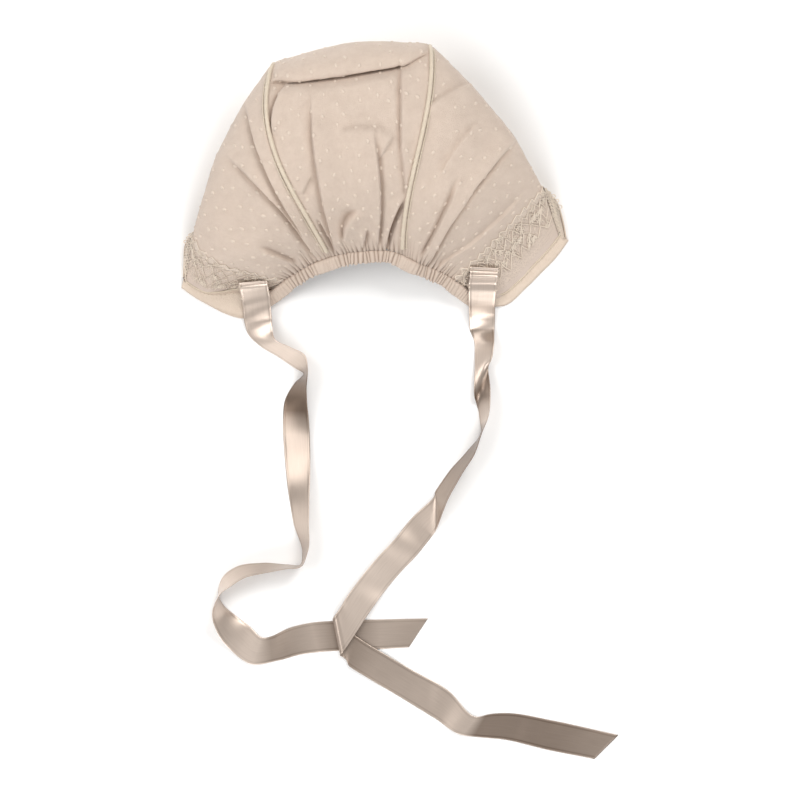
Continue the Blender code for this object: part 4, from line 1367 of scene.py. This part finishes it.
binding_piece("binding_right", BINDING_RIGHT, "neck_binding_right")
binding_piece("binding_left", BINDING_LEFT, "neck_binding_left")

# The ties: each row is one line across the ribbon
# columns: left_x, left_y, left_z, right_x, right_y, right_z
TIE_LEFT = (
    (-86.6, 63.6, 9.8, -71.2, 64.8, 13.6), (-85.4, 56.5, 6.0, -70.2, 59.0, 11.4),
    (-84.2, 48.5, 4.0, -69.4, 51.5, 9.4), (-83.3, 41.0, 2.0, -68.7, 43.4, 5.0),
    (-81.5, 35.8, 0.6, -68.4, 37.6, 6.0), (-76.0, 30.4, 0.5, -67.0, 33.0, 9.0),
    (-66.0, 24.2, 0.5, -58.8, 28.8, 11.0), (-56.5, 17.8, 0.5, -50.6, 23.8, 12.6),
    (-51.8, 14.6, 0.5, -49.6, 16.6, 14.8), (-56.6, 9.6, 0.5, -50.2, 8.6, 13.6),
    (-61.4, 1.2, 0.5, -49.8, 0.6, 9.8), (-62.8, -9.0, 0.5, -48.9, -9.4, 6.0),
    (-62.2, -27.0, 0.5, -48.2, -27.0, 3.6), (-60.2, -46.4, 0.5, -48.4, -46.0, 8.4),
    (-57.2, -65.6, 0.5, -49.0, -65.4, 12.8), (-52.4, -81.4, 0.5, -49.6, -81.2, 15.0),
    (-53.6, -88.0, 0.5, -53.0, -88.8, 15.5), (-61.0, -88.0, 0.5, -61.0, -90.0, 15.2),
    (-74.0, -87.2, 0.5, -75.6, -92.8, 14.0), (-88.0, -89.2, 0.5, -84.6, -95.4, 13.4),
    (-95.4, -95.0, 0.5, -91.2, -99.6, 14.0), (-97.6, -103.4, 0.5, -96.8, -104.2, 15.2),
    (-95.4, -109.2, 0.5, -100.4, -112.4, 13.8), (-87.6, -116.0, 0.5, -98.4, -123.6, 7.6),
    (-81.0, -121.0, 0.5, -92.2, -132.6, 2.4), (-74.5, -127.0, 1.1, -79.3, -141.5, 1.1),
    (-69.0, -126.4, 0.6, -66.0, -139.6, 0.6), (-59.0, -121.8, 0.5, -54.0, -136.4, 0.5),
    (-47.7, -119.2, 0.5, -44.0, -135.0, 0.5), (-31.0, -118.1, 0.5, -30.0, -134.1, 0.5),
    (-8.0, -117.4, 0.5, -9.0, -133.2, 0.5), (15.0, -116.9, 0.5, 4.8, -132.4, 0.5),
)
TIE_RIGHT = (
    (37.5, 72.2, 17.4, 52.5, 71.4, 11.6), (37.2, 65.5, 14.6, 52.4, 65.2, 9.6),
    (36.6, 58.6, 11.2, 51.6, 58.6, 6.6), (36.9, 51.2, 8.6, 51.2, 51.2, 4.6),
    (37.2, 43.8, 3.8, 51.0, 43.8, 2.2), (37.6, 38.4, 0.6, 50.8, 38.4, 1.8),
    (40.0, 31.5, 0.5, 50.6, 31.2, 7.0), (40.4, 23.0, 1.6, 49.8, 24.4, 9.2),
    (39.8, 3.8, 5.2, 47.4, 17.0, 5.4), (41.4, -2.6, 0.6, 48.4, 6.2, 9.8),
    (43.0, -10.4, 0.5, 47.4, -8.0, 13.6), (43.4, -17.4, 0.5, 43.8, -17.2, 15.4),
    (36.0, -27.2, 0.5, 40.0, -28.2, 14.8), (27.0, -37.2, 0.5, 33.0, -39.6, 13.8),
    (19.8, -47.6, 0.6, 26.0, -52.4, 12.0), (16.6, -53.4, 2.2, 19.6, -68.6, 2.2),
    (7.6, -61.6, 0.6, 18.0, -71.6, 0.6), (-2.2, -73.4, 2.4, 10.2, -81.4, 0.5),
    (-15.0, -87.4, 2.6, -4.4, -97.4, 0.6), (-27.4, -103.4, 3.3, -15.6, -112.4, 3.3),
    (-33.4, -113.0, 3.9, -29.0, -132.6, 3.9), (-35.2, -115.6, 3.8, -31.1, -135.6, 3.8),
    (-36.0, -117.0, 2.8, -32.0, -136.8, 2.8), (-35.0, -117.8, 1.8, -30.9, -137.5, 1.8),
    (-33.0, -119.4, 1.8, -29.6, -138.6, 1.8), (-20.4, -128.6, 1.9, -27.0, -142.8, 1.9),
    (-8.8, -135.6, 1.9, -16.4, -149.4, 1.0), (6.0, -144.4, 0.6, -1.6, -158.2, 0.5),
    (26.0, -155.8, 0.5, 18.4, -170.4, 0.5), (41.3, -169.8, 1.2, 33.8, -179.6, 1.2),
    (48.0, -168.4, 0.8, 41.6, -180.6, 0.8), (58.0, -167.8, 0.5, 54.6, -181.8, 0.5),
    (82.0, -171.8, 0.5, 79.0, -187.4, 0.5), (117.4, -179.6, 0.5, 104.5, -192.4, 0.5),
)
RIBBON_HALF_CLOTH = 0.16
RIBBON_SINK = 0.3
RIBBON_WIDTH = 15.5
RIBBON_WAVE = 0.22
RIBBON_STEPS = 24

# Relief of the sewn heads: how far the cloth stands up at a length from the top edge, and painted
# shade in its creases
# columns: length, lift, painted shade
HEAD_LEFT = (
    (0.0, 0.5, 0.0), (1.0, 0.6, 0.0), (1.9, 0.1, 0.25), (2.9, 0.5, 0.0), (6.0, 0.6, 0.0),
    (12.0, -0.2, 0.0), (20.0, 0.3, 0.0), (27.0, 0.0, 0.0),
)
HEAD_RIGHT = (
    (0.0, 0.5, 0.0), (1.0, 0.9, 0.0), (2.1, 0.0, 0.2), (3.2, 0.8, 0.0), (4.2, 0.1, 0.18),
    (5.2, 0.7, 0.0), (7.5, 0.0, 0.05), (10.0, -0.3, 0.1), (13.0, 0.6, 0.0), (17.0, 0.4, 0.0),
    (22.0, -0.3, 0.0), (27.0, 0.0, 0.0),
)
# Painted shade along each tie, from 0 to 1, by row of its table: darker stretches where the satin
# catches less light
# columns: row, painted shade
PAINTED_SHADE_LEFT = (
    (0.0, 0.0), (1.5, 0.2), (2.7, 0.28), (3.6, 0.1), (6.4, 0.0), (7.4, 0.3), (8.0, 0.7),
    (8.7, 1.0), (10.6, 1.0), (11.5, 0.4), (12.4, 0.48), (14.0, 0.32), (15.2, 0.5), (18.0, 0.55),
    (20.0, 0.08), (22.5, 0.3), (24.0, 0.15), (25.0, 0.0), (25.8, 0.6), (26.5, 0.65),
    (28.0, 0.35), (28.8, 0.75), (29.3, 0.7), (29.9, 0.38), (31.0, 0.5),
)
PAINTED_SHADE_RIGHT = (
    (0.0, 0.0), (0.9, 0.14), (1.5, 0.05), (2.4, 0.08), (3.1, 0.62), (3.9, 0.2), (4.85, 0.1),
    (5.05, 0.65), (5.6, 0.5), (6.4, 0.25), (7.5, 0.3), (8.3, 1.0), (9.4, 0.5), (10.2, 0.25),
    (11.0, 1.0), (14.0, 0.7), (15.2, 0.3), (17.0, 0.2), (18.2, 0.0), (19.4, 0.1), (20.4, 0.4),
    (22.0, 0.5), (23.6, 0.6), (24.8, 0.72), (26.0, 0.5), (28.0, 0.35), (29.0, 0.15),
    (29.8, 0.8), (32.0, 0.8), (33.0, 0.65),
)
# Lines along a ribbon: a low ridge near each edge and a fine line of painted shade beside it
# columns: share across, rise, painted shade
RIBBON_EDGE = (
    (0.0, 0.0, 0.0), (0.025, 0.07, 0.0), (0.05, 0.08, 0.0), (0.08, 0.0, 0.2), (0.12, 0.0, 0.0),
    (0.3, 0.0, 0.0), (0.5, 0.0, 0.0),
)
RIBBON_FAR_EDGE = tuple((1.0 - row[0], *row[1:]) for row in RIBBON_EDGE[-2::-1])

# Stitches that hold the heads, three crossed at each place
# columns: length, share across
HEAD_STITCHES_LEFT = ((8.4, 0.12), (7.4, 0.9), (1.9, 0.06))
HEAD_STITCHES_RIGHT = ((11.4, 0.12), (13.4, 0.88), (2.0, 0.94))


def head_relief(arc, table):
    """Smooth lift of the head and painted shade in its creases, at lengths along the ribbon."""
    rows = along(table, np.linspace(0.0, len(table) - 1.0, 400))
    return (np.interp(arc, rows[:, 0], rows[:, k]) for k in (1, 2))


def ribbon(name, table, node, head, head_stitches, painted_shades, seed):
    """Satin ribbon: soft waves along it, a corded line beside each edge, and painted shade along
    it.
    """
    places = np.linspace(0.0, len(table) - 1, RIBBON_STEPS * (len(table) - 1) + 1)
    rows = along(table, places)
    left = rows[:, None, :3]
    right = rows[:, None, 3:]
    shares, edge, line = np.array(RIBBON_EDGE + RIBBON_FAR_EDGE).T
    grid = left + (right - left) * shares[None, :, None]
    normal = grid_normals(grid)
    arc = run_along(grid[:, 6])
    flat_part = np.abs(normal[..., 2])
    cloth = np.stack(np.broadcast_arrays(arc[:, None], shares[None, :] * RIBBON_WIDTH), axis=-1)
    wave = waves(cloth, seed, 8, 16.0, 48.0)
    lift, crease = head_relief(arc, head)
    grid = grid + normal * (edge[None, :] + RIBBON_WAVE * wave * flat_part)[..., None]
    grid[..., 2] = np.maximum(grid[..., 2] - RIBBON_SINK, RIBBON_HALF_CLOTH + 0.02)
    up = normal * np.sign(normal[..., 2:3])
    grid = grid + up * lift[:, None, None]
    normal = grid_normals(grid)
    outer = grid + normal * RIBBON_HALF_CLOTH
    inner = grid - normal * RIBBON_HALF_CLOTH
    # Painted shade: in the creases of the head, in darker stretches along the tie and in a fine
    # line beside each edge
    painted_shade = np.interp(places, *np.array(painted_shades).T)
    marks = np.clip((crease + painted_shade)[:, None] + line[None, :], 0.0, 1.0)
    piece = wall_piece(
        name, outer, inner, cloth[..., ::-1] / CLOTH_UNIT, SATIN, "satin", (node,), crease=marks
    )
    surface = outer if normal[3, 6, 2] > 0.0 else inner
    sewing(name + "_stitches", surface, arc, up, head_stitches)
    return piece, head_fold(name + "_fold", grid)


def head_fold(name, grid):
    """The end of a tie, folded down under its head."""
    reach = np.linspace(0.0, 1.0, 6)[:, None, None]
    ahead = unit(grid[4] - grid[0])[None, :, :]
    strip = grid[:1] + ahead * (0.2 + 1.2 * reach) - np.array((0.0, 0.0, 3.2)) * reach
    strip[..., 2] = np.maximum(strip[..., 2], 0.3)
    normal = grid_normals(strip)
    return wall_piece(
        name, strip + normal * RIBBON_HALF_CLOTH, strip - normal * RIBBON_HALF_CLOTH,
        cloth_uvs(strip), SATIN, "satin",
    )


def sewing(name, surface, arc, up, places):
    """Crossed stitches that hold the head of a tie."""
    made = []
    for length, share in places:
        row = int(np.searchsorted(arc, length))
        column = int(round(share * (surface.shape[1] - 1)))
        centre = surface[row, column]
        normal = up[row, column]
        ahead = unit(surface[row + 2, column] - surface[row - 2, column])
        side = np.cross(normal, ahead)
        for turn in (-0.7, 0.5, 1.6):
            way = ahead * math.cos(turn) + side * math.sin(turn)
            reach = np.linspace(-0.9, 0.9, 7)[:, None]
            line = centre + way * reach + normal * (0.3 - 0.35 * reach * reach)
            made.append((line, np.broadcast_to(normal, line.shape), 0.17))
    threads_piece(name, made, LACE_THREAD)


tie_left, fold_left = ribbon(
    "ribbon_left", TIE_LEFT, "tie_left", HEAD_LEFT, HEAD_STITCHES_LEFT, PAINTED_SHADE_LEFT, 51
)
tie_right, fold_right = ribbon(
    "ribbon_right", TIE_RIGHT, "tie_right", HEAD_RIGHT, HEAD_STITCHES_RIGHT, PAINTED_SHADE_RIGHT, 61
)


# Camera, light and floor


def area_light(name, place, size, power, colour):
    lamp = bpy.data.lights.new(name, "AREA")
    lamp.shape = "RECTANGLE"
    lamp.size = size[0]
    lamp.size_y = size[1]
    lamp.energy = power
    lamp.color = colour
    thing = bpy.data.objects.new(name, lamp)
    bpy.context.scene.collection.objects.link(thing)
    thing.location = place
    aim = Vector((0.0, 0.02, 0.02)) - Vector(place)
    thing.rotation_mode = "QUATERNION"
    thing.rotation_quaternion = aim.to_track_quat("-Z", "Y")


# A pixel and the sensor in mm, the picture in pixels, the heights and the floor in metres
PIXEL = 0.536
FRAME_PIXELS = 800
CAMERA_HEIGHT = 5.0
MIDDLE_HEIGHT = 0.015
SENSOR = 36.0
FLOOR_HALF = 8.0


def make_camera():
    data = bpy.data.cameras.new("camera")
    data.sensor_width = SENSOR
    data.lens = SENSOR * (CAMERA_HEIGHT - MIDDLE_HEIGHT) / (PIXEL * FRAME_PIXELS * MM)
    data.clip_end = 60.0
    camera = bpy.data.objects.new("camera", data)
    bpy.context.scene.collection.objects.link(camera)
    camera.location = (0.0, PIXEL * MM, CAMERA_HEIGHT)
    bpy.context.scene.camera = camera


def make_floor():
    mesh = bpy.data.meshes.new("floor")
    corners = ((-1, -1), (1, -1), (1, 1), (-1, 1))
    points = [(FLOOR_HALF * x, FLOOR_HALF * y, 0.0) for x, y in corners]
    mesh.from_pydata(points, [], [(0, 1, 2, 3)])
    floor = bpy.data.objects.new("floor", mesh)
    bpy.context.scene.collection.objects.link(floor)
    look, _, _, shader = new_material("pale_floor", (0.97, 0.97, 0.97), 0.9)
    shader.inputs["Specular IOR Level"].default_value = 0.1
    mesh.materials.append(look)


def make_world():
    world = bpy.data.worlds.new("studio")
    bpy.context.scene.world = world
    world.use_nodes = True
    back = world.node_tree.nodes["Background"]
    back.inputs["Color"].default_value = (1.0, 0.99, 0.98, 1.0)
    back.inputs["Strength"].default_value = 0.34


make_camera()
make_floor()
make_world()
area_light("key", (0.9, 1.5, 1.9), (1.1, 1.1), 34.0, (1.0, 0.985, 0.965))
area_light("low_fill", (0.2, -1.8, 1.5), (1.6, 0.9), 27.0, (1.0, 0.99, 0.98))
area_light("side_fill", (-1.4, 0.3, 1.6), (1.5, 1.5), 23.0, (1.0, 0.99, 0.98))
bpy.context.scene.view_settings.view_transform = "Standard"
